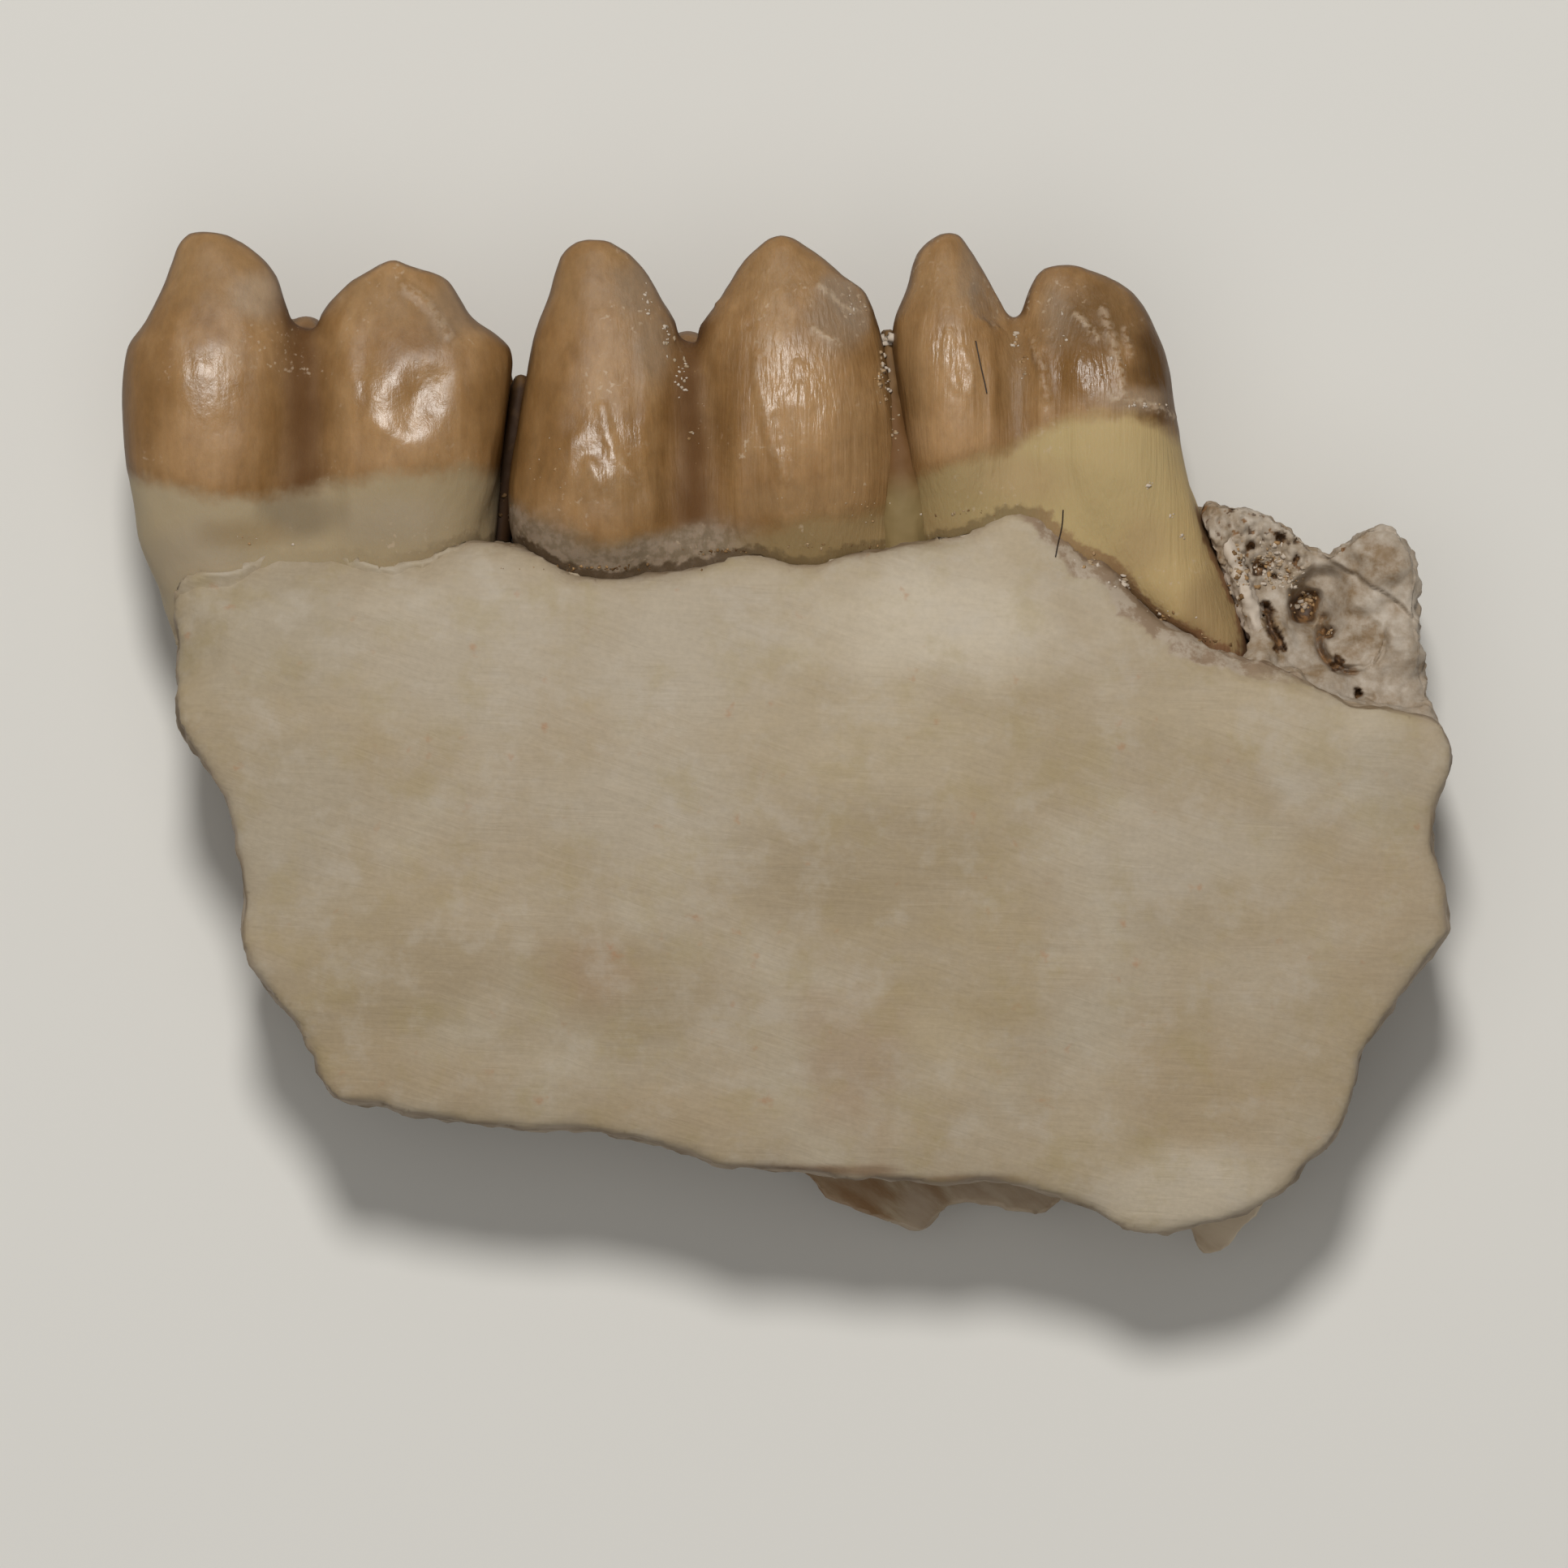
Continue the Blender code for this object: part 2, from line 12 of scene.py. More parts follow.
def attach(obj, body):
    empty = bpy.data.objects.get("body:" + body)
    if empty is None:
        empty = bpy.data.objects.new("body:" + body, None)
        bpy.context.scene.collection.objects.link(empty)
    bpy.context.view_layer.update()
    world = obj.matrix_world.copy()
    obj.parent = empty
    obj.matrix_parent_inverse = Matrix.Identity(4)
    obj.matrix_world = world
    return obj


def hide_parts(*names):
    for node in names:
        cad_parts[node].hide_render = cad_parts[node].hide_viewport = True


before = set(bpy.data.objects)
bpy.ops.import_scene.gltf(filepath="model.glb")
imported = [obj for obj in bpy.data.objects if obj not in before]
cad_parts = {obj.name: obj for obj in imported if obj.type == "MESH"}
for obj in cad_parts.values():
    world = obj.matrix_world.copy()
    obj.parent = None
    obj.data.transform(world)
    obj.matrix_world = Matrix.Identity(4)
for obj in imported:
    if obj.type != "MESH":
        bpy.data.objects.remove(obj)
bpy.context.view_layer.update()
print("stage: frame loaded with", ", ".join(sorted(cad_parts)))

mm = 0.001  # shapes are drawn in millimetres and scaled down when they are settled


# shared shape tools

def smoothThrough(rows, steps):
    # Catmull-Rom rows between the given rows
    last = len(rows) - 1
    found = []
    for span in range(last):
        a, b, c, d = (np.array(rows[min(max(i, 0), last)], float) for i in range(span - 1, span + 3))
        for step in range(steps):
            t = step / steps
            found.append(0.5 * (2 * b + (c - a) * t + (2 * a - 5 * b + 4 * c - d) * t**2
                                + (3 * b - a - 3 * c + d) * t**3))
    found.append(np.array(rows[-1], float))
    return found


def newPiece(name, mesh):
    piece = bpy.data.objects.new(name, mesh)
    bpy.context.scene.collection.objects.link(piece)
    return piece


def pieceFromShape(name, shape):
    bmesh.ops.recalc_face_normals(shape, faces=shape.faces)
    mesh = bpy.data.meshes.new(name)
    shape.to_mesh(mesh)
    shape.free()
    return newPiece(name, mesh)


def bakeModifiers(piece):
    bpy.context.view_layer.update()
    graph = bpy.context.evaluated_depsgraph_get()
    mesh = bpy.data.meshes.new_from_object(piece.evaluated_get(graph))
    piece.modifiers.clear()
    old = piece.data
    piece.data = mesh
    bpy.data.meshes.remove(old)


def skinOver(piece, voxel, rounds):
    # one skin over crossing shapes
    skin = piece.modifiers.new("skin", "REMESH")
    skin.mode = "VOXEL"
    skin.voxel_size = voxel
    soften = piece.modifiers.new("soften", "SMOOTH")
    soften.factor = 0.5
    soften.iterations = rounds
    bakeModifiers(piece)


def loftRings(shape, rings):
    made = [[shape.verts.new(point) for point in ring] for ring in rings]
    count = len(rings[0])
    for low, high in zip(made, made[1:]):
        for i in range(count):
            j = (i + 1) % count
            shape.faces.new((low[i], low[j], high[j], high[i]))
    shape.faces.new(list(reversed(made[0])))
    shape.faces.new(made[-1])


def rowsOf(items, name):
    found = np.empty(len(items) * 3, np.float32)
    items.foreach_get(name, found)
    return found.reshape(-1, 3).astype(float)


def pointsOf(mesh):
    return rowsOf(mesh.vertices, "co")


def normalsOf(mesh):
    return rowsOf(mesh.vertex_normals, "vector")


def movePoints(mesh, points):
    mesh.vertices.foreach_set("co", points.astype(np.float32).ravel())
    mesh.update()


def ramp(values, low, high):
    # 0 below low, 1 above high, with a smooth step between
    t = np.clip((np.asarray(values, float) - low) / (np.asarray(high, float) - low), 0, 1)
    return t * t * (3 - 2 * t)


def fade(values, low, high):
    # 1 below low, 0 above high
    return 1 - ramp(values, low, high)


def ovalGap(points, x, y, wide=1.0, high=1.0):
    # how far each point is in plan from x, y, as a share of an oval's half width and half height
    return np.hypot((points[:, 0] - x) / wide, (points[:, 1] - y) / high)


def bumps(points, size, octaves=1, stretch=(1, 1, 1), shift=0.0):
    # a soft random height from about -1 to 1 at each point, with bumps about that many mm across
    scaled = points / (np.array(stretch) * size) + shift
    return np.array([noise.fractal(p, 1.0, 2.0, octaves) for p in scaled.tolist()])


def layeredBumps(points, layers):
    # each layer is its height, then size, octaves, stretch and shift, the last two only where they are needed
    return sum(height * bumps(points, *rest) for height, *rest in layers)


def relax(mesh, points, share, rounds):
    # each point moves towards the middle of its neighbours, by one share for all or by its own
    ends = np.empty(len(mesh.edges) * 2, np.int32)
    mesh.edges.foreach_get("vertices", ends)
    a, b = ends.reshape(-1, 2).T
    count = len(points)
    degree = np.maximum(np.bincount(a, minlength=count) + np.bincount(b, minlength=count), 1)
    share = np.broadcast_to(share, count)[:, None]
    for _ in range(rounds):
        middle = np.empty_like(points)
        for axis in range(3):
            line = points[:, axis]
            middle[:, axis] = (np.bincount(a, line[b], count) + np.bincount(b, line[a], count)) / degree
        points = points + share * (middle - points)
    return points


def paintPoints(mesh, name, values):
    # a value for each point, which a material can read by this name
    layer = mesh.attributes.new(name, "FLOAT", "POINT")
    layer.data.foreach_set("value", np.asarray(values, np.float32))


def hollowness(mesh, points, rounds):
    # above 0 in valleys and below 0 on ridges, in mm
    wide = relax(mesh, points, 0.6, rounds)
    return ((wide - points) * normalsOf(mesh)).sum(axis=1)


def searchTree(*pieces):
    # for finding the nearest place on finished pieces, in mm
    points, faces = [], []
    for piece in pieces:
        start = len(points)
        points += (pointsOf(piece.data) / mm).tolist()
        faces += [[start + i for i in face.vertices] for face in piece.data.polygons]
    return BVHTree.FromPolygons(points, faces)


def alongLine(points, start, end):
    # distance from a line in plan, and the side it is on
    a, b = np.array(start), np.array(end)
    way = (b - a) / np.linalg.norm(b - a)
    off = points[:, :2] - a
    run = np.clip(off @ way, 0, np.linalg.norm(b - a))
    side = off @ np.array([-way[1], way[0]])
    return np.linalg.norm(off - run[:, None] * way, axis=1), side


def settle(piece, finish):
    # scales a finished piece to metres and dresses it
    triangles = sum(len(face.vertices) - 2 for face in piece.data.polygons)
    print("stage:", piece.name, "with", triangles, "triangles")
    piece.data.transform(Matrix.Scale(mm, 4))
    piece.data.materials.clear()
    piece.data.materials.append(finish)
    piece.data.shade_smooth()
    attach(piece, "root")


# shared material tools

def linearFromHex(code):
    parts = [int(code[i:i + 2], 16) / 255 for i in (1, 3, 5)]
    return (*(c / 12.92 if c <= 0.04045 else ((c + 0.055) / 1.055) ** 2.4 for c in parts), 1.0)


# the nodes used here: Blender's kind, what is always set on it, the inputs that a call fills in turn,
# and the output that is read
nodeForms = {
    "place": ("ShaderNodeTexCoord", {}, (), "Object"),
    "painted": ("ShaderNodeAttribute", {}, (), "Fac"),
    "axes": ("ShaderNodeSeparateXYZ", {}, (0,), None),
    "scaled": ("ShaderNodeVectorMath", {"operation": "SCALE"}, (0, "Scale"), 0),
    "shifted": ("ShaderNodeVectorMath", {"operation": "SUBTRACT"}, (0, 1), 0),
    "squeezed": ("ShaderNodeVectorMath", {"operation": "MULTIPLY"}, (0, 1), 0),
    "length": ("ShaderNodeVectorMath", {"operation": "LENGTH"}, (0,), "Value"),
    "stretched": ("ShaderNodeMapping", {"vector_type": "TEXTURE"}, (0, 3, 2), 0),
    "add": ("ShaderNodeMath", {"operation": "ADD"}, (0, 1), 0),
    "multiply": ("ShaderNodeMath", {"operation": "MULTIPLY"}, (0, 1), 0),
    "multiplyAdd": ("ShaderNodeMath", {"operation": "MULTIPLY_ADD"}, (0, 1, 2), 0),
    "highest": ("ShaderNodeMath", {"operation": "MAXIMUM"}, (0, 1), 0),
    "step": ("ShaderNodeMapRange", {"interpolation_type": "SMOOTHSTEP"}, (0, 1, 2, 3, 4), 0),
    "spread": ("ShaderNodeMapRange", {}, (0, 1, 2, 3, 4), 0),
    "grain": ("ShaderNodeTexNoise", {}, ("Vector", "Scale", "Detail", "Roughness", "Distortion"), 0),
    "tint": ("ShaderNodeValToRGB", {}, (0,), 0),
    "mixed": ("ShaderNodeMix", {}, (0, 2, 3), 0),
    "blend": ("ShaderNodeMix", {"data_type": "RGBA"}, (0, 6, 7), 2),
    "relief": ("ShaderNodeBump", {}, ("Height", "Strength", "Distance"), 0),
    "surface": ("ShaderNodeBsdfPrincipled", {},
                ("Base Color", "Roughness", "Specular IOR Level", "IOR", "Normal",
                 "Subsurface Weight", "Subsurface Radius", "Subsurface Scale"), 0),
    "result": ("ShaderNodeOutputMaterial", {}, ("Surface",), None),
}


def addNode(tree, form, *values, stops=None, **settings):
    kind, always, places, output = nodeForms[form]
    node = tree.nodes.new(kind)
    for name, value in {**always, **settings}.items():
        setattr(node, name, value)
    for place, value in zip(places, values):
        if isinstance(value, bpy.types.NodeSocket):
            tree.links.new(value, node.inputs[place])
        else:
            node.inputs[place].default_value = linearFromHex(value) if isinstance(value, str) else value
    if stops:
        marks = node.color_ramp.elements
        while len(marks) < len(stops):
            marks.new(1.0)
        for mark, (at, colour) in zip(marks, stops):
            mark.position = at
            mark.color = linearFromHex(colour) if isinstance(colour, str) else (colour,) * 3 + (1.0,)
    return node.outputs if output is None else node.outputs[output]


def newMaterial(name):
    finish = bpy.data.materials.new(name)
    finish.use_nodes = True
    finish.node_tree.nodes.clear()
    return finish, partial(addNode, finish.node_tree)


# the bone

boneSkin = {
    "voxel": 0.13,
    "broadFacing": (0.75, 0.95),   # how level the skin is where it starts to be, and is, a broad face
    "wallFacing": (0.35, 0.7),     # and where it is, and stops being, a broken wall
    "faceSoften": (0.6, 34),       # share and rounds, to even out the broad faces
    "wallSoften": (0.4, 3),
    "topAbove": 3.6, "wallTopAbove": 3.9,   # z from which the upper face and its broken edges are found
    "spongyRight": (7.3, 0.6),     # the laid-bare corner starts right of and above this x, y
    "spongyFoot": (0.1, 0.7),      # the heights y over which it starts
    "spongyZ": (2.6, 4.75),        # and the heights z between which it lies
    "spongyEdge": 0.3,             # over how many mm it starts along x and z
    "cornerCuts": 2,
    "socketRim": (0.6, 1.6),       # the heights y over which a broken edge turns into the sockets' rim
    "breakSlope": (0.16, 0.05),    # how far in from the broken edges, and how deep, the face falls
    "rimWander": (0.35, 0.13, 0.35),   # how far edges wander: share of the reach, at most, bump size
    "rimCurve": 1.6,
    # bumps as height, size, octaves, stretch and shift, in mm
    "faceBumps": [(0.05, 2.6, 3), (0.006, 0.3, 2, (3, 1, 1))],
    "wallBumps": [(0.06, 0.55, 3), (0.045, 0.2, 2, (2, 2, 0.5))],
    "spongyWallBumps": [(0.1, 0.4, 3)],
    "rimBumps": [(0.035, 0.22, 2, (1, 1, 1), 2.0)],
}
# the rim along the tooth sockets: x, how far in it falls and how deep, how stained it is and how widely
rimNotes = [(-11.2, 1.1, 0.5, 0.1, 0.3), (-8.0, 1.0, 0.46, 0.1, 0.3), (-5.6, 0.5, 0.26, 0.2, 0.2),
            (-4.4, 0.3, 0.14, 0.3, 0.2), (4.0, 0.25, 0.12, 0.3, 0.2), (4.6, 0.4, 0.2, 0.9, 0.45),
            (6.6, 0.5, 0.24, 1.0, 0.5), (8.3, 0.9, 0.34, 0.7, 0.35), (12.0, 0.5, 0.2, 0.3, 0.25)]
# forms in the spongy bone, all in mm
cornerForms = {
    "bumps": [(0.16, 1.0, 3, (1, 1, 1), 3.1), (0.05, 0.28, 2, (1, 1, 1), 8.0)],
    "socket": (9.78, 2.6, 0.74, 0.38),    # x, y, radius, depth
    "dome": (10.26, 1.93, 0.54, 0.34),    # x, y, radius, height
    "crevice": (0.58, 0.09, 0.2, 125, 300, 40),   # round the dome: radius, half width, depth, angles, run-out
    # x, y, radius, depth
    "holes": [(9.46, 2.57, 0.34, 0.3), (9.87, 2.02, 0.16, 0.24), (10.0, 1.47, 0.14, 0.14),
              (10.35, 0.95, 0.09, 0.36), (8.42, 3.62, 0.09, 0.22), (8.95, 3.78, 0.11, 0.28),
              (8.58, 3.2, 0.15, 0.24), (9.25, 3.36, 0.08, 0.16), (8.3, 3.14, 0.12, 0.2),
              (8.86, 3.06, 0.06, 0.12), (10.1, 3.55, 0.05, 0.14)],
    "slit": ((8.7, 2.5), (8.95, 1.78), 0.08, 0.4),               # its ends, half width, depth
    "plate": ((9.95, 3.3), (10.87, 2.76), (11.45, 2.2), 0.16),   # a flake above this line stands up
    "crumbly": ((2.6, 3.2), (9.2, 9.8), 0.1, 0.15),              # from y, as far as x; height, size
}


def carveCorner(points, corner):
    # how far each point of the spongy corner moves up, and how much of a rusty pore it is
    lift = layeredBumps(points, cornerForms["bumps"])
    x, y, radius, depth = cornerForms["socket"]
    gap = ovalGap(points, x, y)
    inside = fade(gap, radius * 0.62, radius) * fade(points[:, 0], x, x + 0.7 * radius)
    lift = lift * (1 - 0.85 * inside) - depth * inside
    x, y, radius, height = cornerForms["dome"]
    off = points[:, :2] - (x, y)
    gap = np.hypot(*off.T)
    crisp = ramp(-(off @ (0.7, 0.7)), -0.5, 0.45)   # its upper right runs out into the socket's side
    lift += height * (crisp * np.sqrt(np.clip(1 - (gap / (radius * 1.12)) ** 2, 0, 1))
                      + (1 - crisp) * fade(gap, 0.0, radius * 2.1) * 0.97)
    ring, half, depth, low, high, out = cornerForms["crevice"]
    angle = np.degrees(np.arctan2(off[:, 1], off[:, 0])) % 360
    sunk = fade(abs(gap - ring), half * 0.4, half * 1.4)
    sunk = sunk * ramp(angle, low, low + out) * fade(angle, high - out, high)
    lift -= depth * sunk
    # the crevice's dark colour is partly rust and partly painted shade, on the dome's lower-left side where
    # its shadow falls
    pore = 0.6 * sunk
    for x, y, radius, depth in cornerForms["holes"]:
        gap = ovalGap(points, x, y) + 0.6 * radius * bumps(points, 1.2 * radius, 2)
        sunk = fade(gap, radius * 0.5, radius * 1.15)
        lift -= depth * sunk
        pore = np.maximum(pore, sunk)
    start, end, half, depth = cornerForms["slit"]
    gap, _ = alongLine(points, start, end)
    sunk = fade(gap + 0.09 * bumps(points, 0.16, 3), half * 0.4, half * 1.6)
    lift -= depth * sunk
    pore = np.maximum(pore, sunk)
    *line, height = cornerForms["plate"]
    edges = [alongLine(points, a, b) for a, b in zip(line, line[1:])]
    nearest = np.argmin([gap for gap, _ in edges], axis=0)
    side = np.choose(nearest, [side for _, side in edges])
    wobble = side + 0.05 * bumps(points, 0.3, 2)
    lift += height * ramp(wobble, -0.03, 0.04) * (points[:, 0] > line[0][0] - 0.3)
    fromY, toX, height, size = cornerForms["crumbly"]
    crumbly = ramp(points[:, 1], *fromY) * fade(points[:, 0], *toX)
    grit = bumps(points, size, 3, shift=5.0)
    lift += crumbly * height * grit
    pore = np.maximum(pore, 0.75 * crumbly * ramp(-grit, 0.15, 0.5))
    return lift * corner, 0.9 * pore * corner


def makeBone(finish):
    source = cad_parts["jaw_bone"]
    mesh = source.data.copy()
    mesh.transform(source.matrix_world)
    mesh.transform(Matrix.Scale(1 / mm, 4))
    piece = newPiece("broken_jaw_bone", mesh)
    skinOver(piece, boneSkin["voxel"], 1)
    mesh = piece.data
    shape = bmesh.new()
    shape.from_mesh(mesh)
    right, above = boneSkin["spongyRight"]
    inCorner = [e for e in shape.edges   # only the skin that the camera sees is cut finer
                if all(v.co.x > right and v.co.y > above and v.co.z > 3.0 for v in e.verts)]
    bmesh.ops.subdivide_edges(shape, edges=inCorner, cuts=boneSkin["cornerCuts"], use_grid_fill=True)
    bmesh.ops.triangulate(shape, faces=[f for f in shape.faces if len(f.verts) > 4])
    shape.to_mesh(mesh)
    shape.free()
    points, normals = pointsOf(mesh), normalsOf(mesh)
    broad = ramp(abs(normals[:, 2]), *boneSkin["broadFacing"])
    share, rounds = boneSkin["faceSoften"]
    points = relax(mesh, points, share * broad, rounds)
    points = relax(mesh, points, *boneSkin["wallSoften"])
    movePoints(mesh, points)
    normals = normalsOf(mesh)
    wall = fade(abs(normals[:, 2]), *boneSkin["wallFacing"])

    # distance from the nearest broken wall, for the falling rims
    walls = np.nonzero(wall > 0.5)[0]
    tree = kdtree.KDTree(len(walls))
    for i in walls:
        tree.insert(points[i], int(i))
    tree.balance()
    onTop = (normals[:, 2] > 0.5) & (points[:, 2] > boneSkin["topAbove"])
    noEdge = 9.0   # farther than any edge
    toEdge = np.full(len(points), noEdge)
    for i in np.nonzero(onTop)[0]:
        toEdge[i] = tree.find(points[i])[2]
    toEdge[(wall > 0.5) & (points[:, 2] > boneSkin["wallTopAbove"])] = 0.0
    byEdge = toEdge < noEdge
    (low, high), soft = boneSkin["spongyZ"], boneSkin["spongyEdge"]
    corner = ramp(points[:, 0], right - soft, right + soft) * ramp(high - points[:, 2], 0, soft)
    corner *= ramp(points[:, 1], *boneSkin["spongyFoot"]) * (points[:, 2] > low)
    bySockets = ramp(points[:, 1], *boneSkin["socketRim"]) * (1 - corner)
    notes = np.array(rimNotes).T
    rimReach, rimDrop, rimStain, rimWide = (np.interp(points[:, 0], notes[0], row) for row in notes[1:])
    breakReach, breakDrop = boneSkin["breakSlope"]
    reach = rimReach * bySockets + breakReach * (1 - bySockets)
    drop = rimDrop * bySockets + breakDrop * (1 - bySockets)
    share, most, size = boneSkin["rimWander"]
    ragged = toEdge + np.minimum(share * reach, most) * bumps(points, size, 3)
    falling = np.clip(1 - ragged / reach, 0, 1) ** boneSkin["rimCurve"] * byEdge
    points[:, 2] -= drop * falling
    rim = fade(ragged, rimWide * 0.6, rimWide) * bySockets * rimStain * byEdge

    swell = (1 - wall) * layeredBumps(points, boneSkin["faceBumps"])
    swell += wall * layeredBumps(points, boneSkin["wallBumps"])
    swell += wall * corner * layeredBumps(points, boneSkin["spongyWallBumps"])
    swell += rim * layeredBumps(points, boneSkin["rimBumps"])
    points += normals * swell[:, None]
    lift, pore = carveCorner(points, corner)
    points[:, 2] = np.maximum(points[:, 2] + lift, 0.0)
    movePoints(mesh, points)
    # how hollow each place of the spongy corner is, which its finish darkens as painted shade
    pit = np.clip(hollowness(mesh, points, 14), 0, 1) * 4 * corner
    for name, values in (("brokenWall", wall), ("stainedRim", rim), ("pore", pore), ("spongy", corner),
                         ("pit", pit)):
        paintPoints(mesh, name, values)
    settle(piece, finish)
    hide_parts("jaw_bone")
    return piece


# the three cheek teeth

toothSkin = {
    "ringPoints": 44, "rowSteps": 4,
    "roughSkin": (0.12, 6), "fineSkin": (0.068, 3),   # voxel in mm and rounds of softening
    # hollows between cusps: rounds that find them, how deep they count, rounds that widen and that fill them
    "hollows": (60, (0.003, 0.04), 14, 90),
    "hollowZ": (3.0, 3.6), "markedZ": (2.8, 3.6),   # the depths over which the tongue side starts
    # bumps as height, size, octaves and stretch, in mm
    "swells": [(0.035, 1.3, 2), (0.01, 0.35, 2, (1, 2.5, 1))],
    "wrinkles": [(0.004, 0.14, 1, (1, 8, 1))],
    "wornBumps": [(0.02, 0.22, 3)],
    "enamelStep": 0.02,   # enamel stands a little proud of the root
    "boneReach": 3.0,     # bone farther away than this leaves no mark
}

# rows of a tongue-side cusp are (height y, left x, right x) in mm, from the neck up to the tip;
# bulges are the heights at which each cusp stands out most
rearMolar = {
    "node": "molar_rear",
    "cusps": [
        [(2.6, -11.3, -8.9), (3.6, -11.72, -8.8), (4.3, -11.86, -8.75), (5.3, -12.0, -8.75),
         (6.45, -12.03, -8.75), (7.2, -11.93, -8.8), (7.6, -11.66, -8.92), (8.07, -11.4, -9.1),
         (8.45, -11.24, -9.2), (8.8, -11.12, -9.42), (9.08, -11.02, -9.75), (9.3, -10.8, -10.2)],
        [(2.6, -8.65, -5.5), (4.1, -8.65, -5.38), (5.3, -8.65, -5.15), (6.45, -8.65, -5.0),
         (7.1, -8.6, -4.95), (7.4, -8.57, -5.2), (7.7, -8.52, -5.62), (8.0, -8.34, -5.84),
         (8.3, -8.05, -6.02), (8.5, -7.8, -6.2), (8.68, -7.45, -6.75), (8.8, -7.25, -7.05)],
    ],
    "bulges": [5.3, 5.2],
    # webs between cusps: foot x, y; top x, y; half width; lowest and highest z
    "webs": [((-8.7, 2.6), (-8.75, 7.82), 0.5, (1.7, 4.0)),
             ((-5.74, 3.4), (-5.4, 7.2), 0.4, (2.3, 4.0))],
    # smooth hollows between cusps: foot x, y; top x, y; how far they reach; z of their bottom; how dark their
    # painted shade is
    "troughs": [((-8.72, 2.6), (-8.78, 7.82), 1.15, 4.5, 1.0)],
    # the neck below the enamel: y, left x, right x, highest z
    "neck": [(2.4, -11.1, -5.6, 4.3), (3.4, -11.6, -5.5, 4.6), (4.4, -11.75, -5.45, 4.72),
             (5.2, -11.7, -5.5, 4.62), (5.9, -11.6, -5.6, 4.4), (6.3, -11.4, -5.7, 4.25)],
    "roots": [
        [(4.4, -11.75, -9.2), (2.6, -11.35, -9.1), (0.4, -10.5, -8.8), (-2.0, -9.5, -8.5)],
        [(4.4, -8.2, -5.7), (2.4, -7.95, -5.8), (0.0, -7.6, -6.1), (-3.0, -7.2, -6.4)],
    ],
    "enamelEdge": [(-12.1, 4.95), (-10.4, 4.6), (-8.8, 4.65), (-7.0, 5.0), (-5.0, 5.0)],
    # worn or chipped flats: a point on it, the way it faces, its reach, how much is worn off, how grey
    "flats": [((-9.7, 8.4, 4.55), (0.45, 0.35, 0.82), 0.9, 0.6, 0.8),
              ((-5.9, 7.9, 4.6), (0.5, 0.4, 0.75), 0.7, 0.5, 0.7)],
    # ridges: the line it follows, half width, height, how pale it is rubbed
    "ridges": [([(-6.9, 8.3), (-6.4, 7.9), (-6.1, 7.4)], 0.16, 0.04, 0.3)],
    # wide swells and dents: x, y, half width, half height, how high
    "swells": [(-6.6, 6.25, 0.85, 1.1, -0.09), (-7.35, 6.1, 0.6, 1.2, 0.04)],
    # where wear has polished it: x, y, half width, half height
    "polished": [(-10.5, 6.4, 0.75, 0.9), (-6.95, 6.2, 1.1, 1.3)],
}
middleMolar = {
    "node": "molar_middle",
    "cusps": [
        [(2.6, -4.7, -1.9), (3.8, -5.0, -1.8), (4.7, -5.02, -1.78), (5.85, -4.88, -1.78),
         (7.0, -4.68, -1.85), (7.65, -4.48, -2.02), (8.2, -4.28, -2.32), (8.7, -4.17, -2.62),
         (9.0, -4.0, -2.95), (9.17, -3.75, -3.25)],
        [(2.6, -1.55, 1.9), (3.8, -1.6, 2.05), (4.7, -1.62, 2.1), (5.85, -1.65, 2.02),
         (7.0, -1.65, 1.84), (7.55, -1.56, 1.7), (7.9, -1.35, 1.57), (8.28, -1.1, 1.38),
         (8.45, -1.0, 1.1), (8.75, -0.8, 0.74), (9.05, -0.52, 0.36), (9.24, -0.25, 0.1)],
    ],
    "bulges": [4.1, 5.0],
    "webs": [((-1.7, 2.6), (-1.78, 7.55), 0.5, (1.7, 3.95)),
             ((1.5, 3.4), (1.36, 7.9), 0.38, (2.3, 4.2))],
    "troughs": [((-1.6, 2.6), (-1.75, 7.6), 1.05, 4.45, 1.0)],
    "neck": [(2.4, -4.7, 1.9, 4.4), (3.3, -4.95, 2.08, 4.7), (3.9, -5.0, 2.12, 4.8),
             (4.5, -4.95, 2.12, 4.72), (5.2, -4.8, 2.05, 4.5), (5.6, -4.6, 1.9, 4.3)],
    "roots": [
        [(4.4, -4.8, -2.3), (2.2, -4.5, -2.4), (-0.4, -4.2, -2.8), (-3.2, -3.9, -3.1)],
        [(4.4, -1.2, 1.6), (2.2, -1.0, 1.5), (-0.4, -0.5, 1.4), (-3.2, 0.2, 1.2)],
    ],
    "enamelEdge": [(-5.1, 3.9), (-3.4, 3.75), (-1.7, 3.85), (-0.4, 3.95), (0.8, 4.15), (2.1, 4.4)],
    "flats": [((-2.75, 8.2, 4.55), (0.66, 0.3, 0.69), 1.5, 0.85, 0.6),
              ((0.95, 7.75, 4.6), (0.5, 0.42, 0.76), 1.6, 0.85, 1.0)],
    "ridges": [([(-0.52, 6.98), (-0.46, 6.32), (-0.3, 5.65), (-0.02, 4.83)], 0.17, 0.05, 0.15),
               ([(-3.32, 6.1), (-3.15, 5.27), (-2.71, 4.73)], 0.15, 0.035, 0.15),
               ([(-3.55, 5.1), (-3.3, 4.6)], 0.13, 0.03, 0.15),
               ([(0.2, 6.9), (0.35, 6.0), (0.3, 5.3)], 0.15, 0.03, 0.1),
               ([(0.5, 7.5), (0.95, 7.25)], 0.1, 0.03, 0.7),
               ([(0.6, 8.3), (1.1, 7.95), (1.35, 7.9)], 0.1, 0.03, 0.6)],
    "swells": [(-3.2, 4.0, 1.7, 2.1, 0.16)],
    "polished": [(-3.1, 5.2, 0.9, 1.0), (0.15, 6.0, 0.9, 1.4)],
}
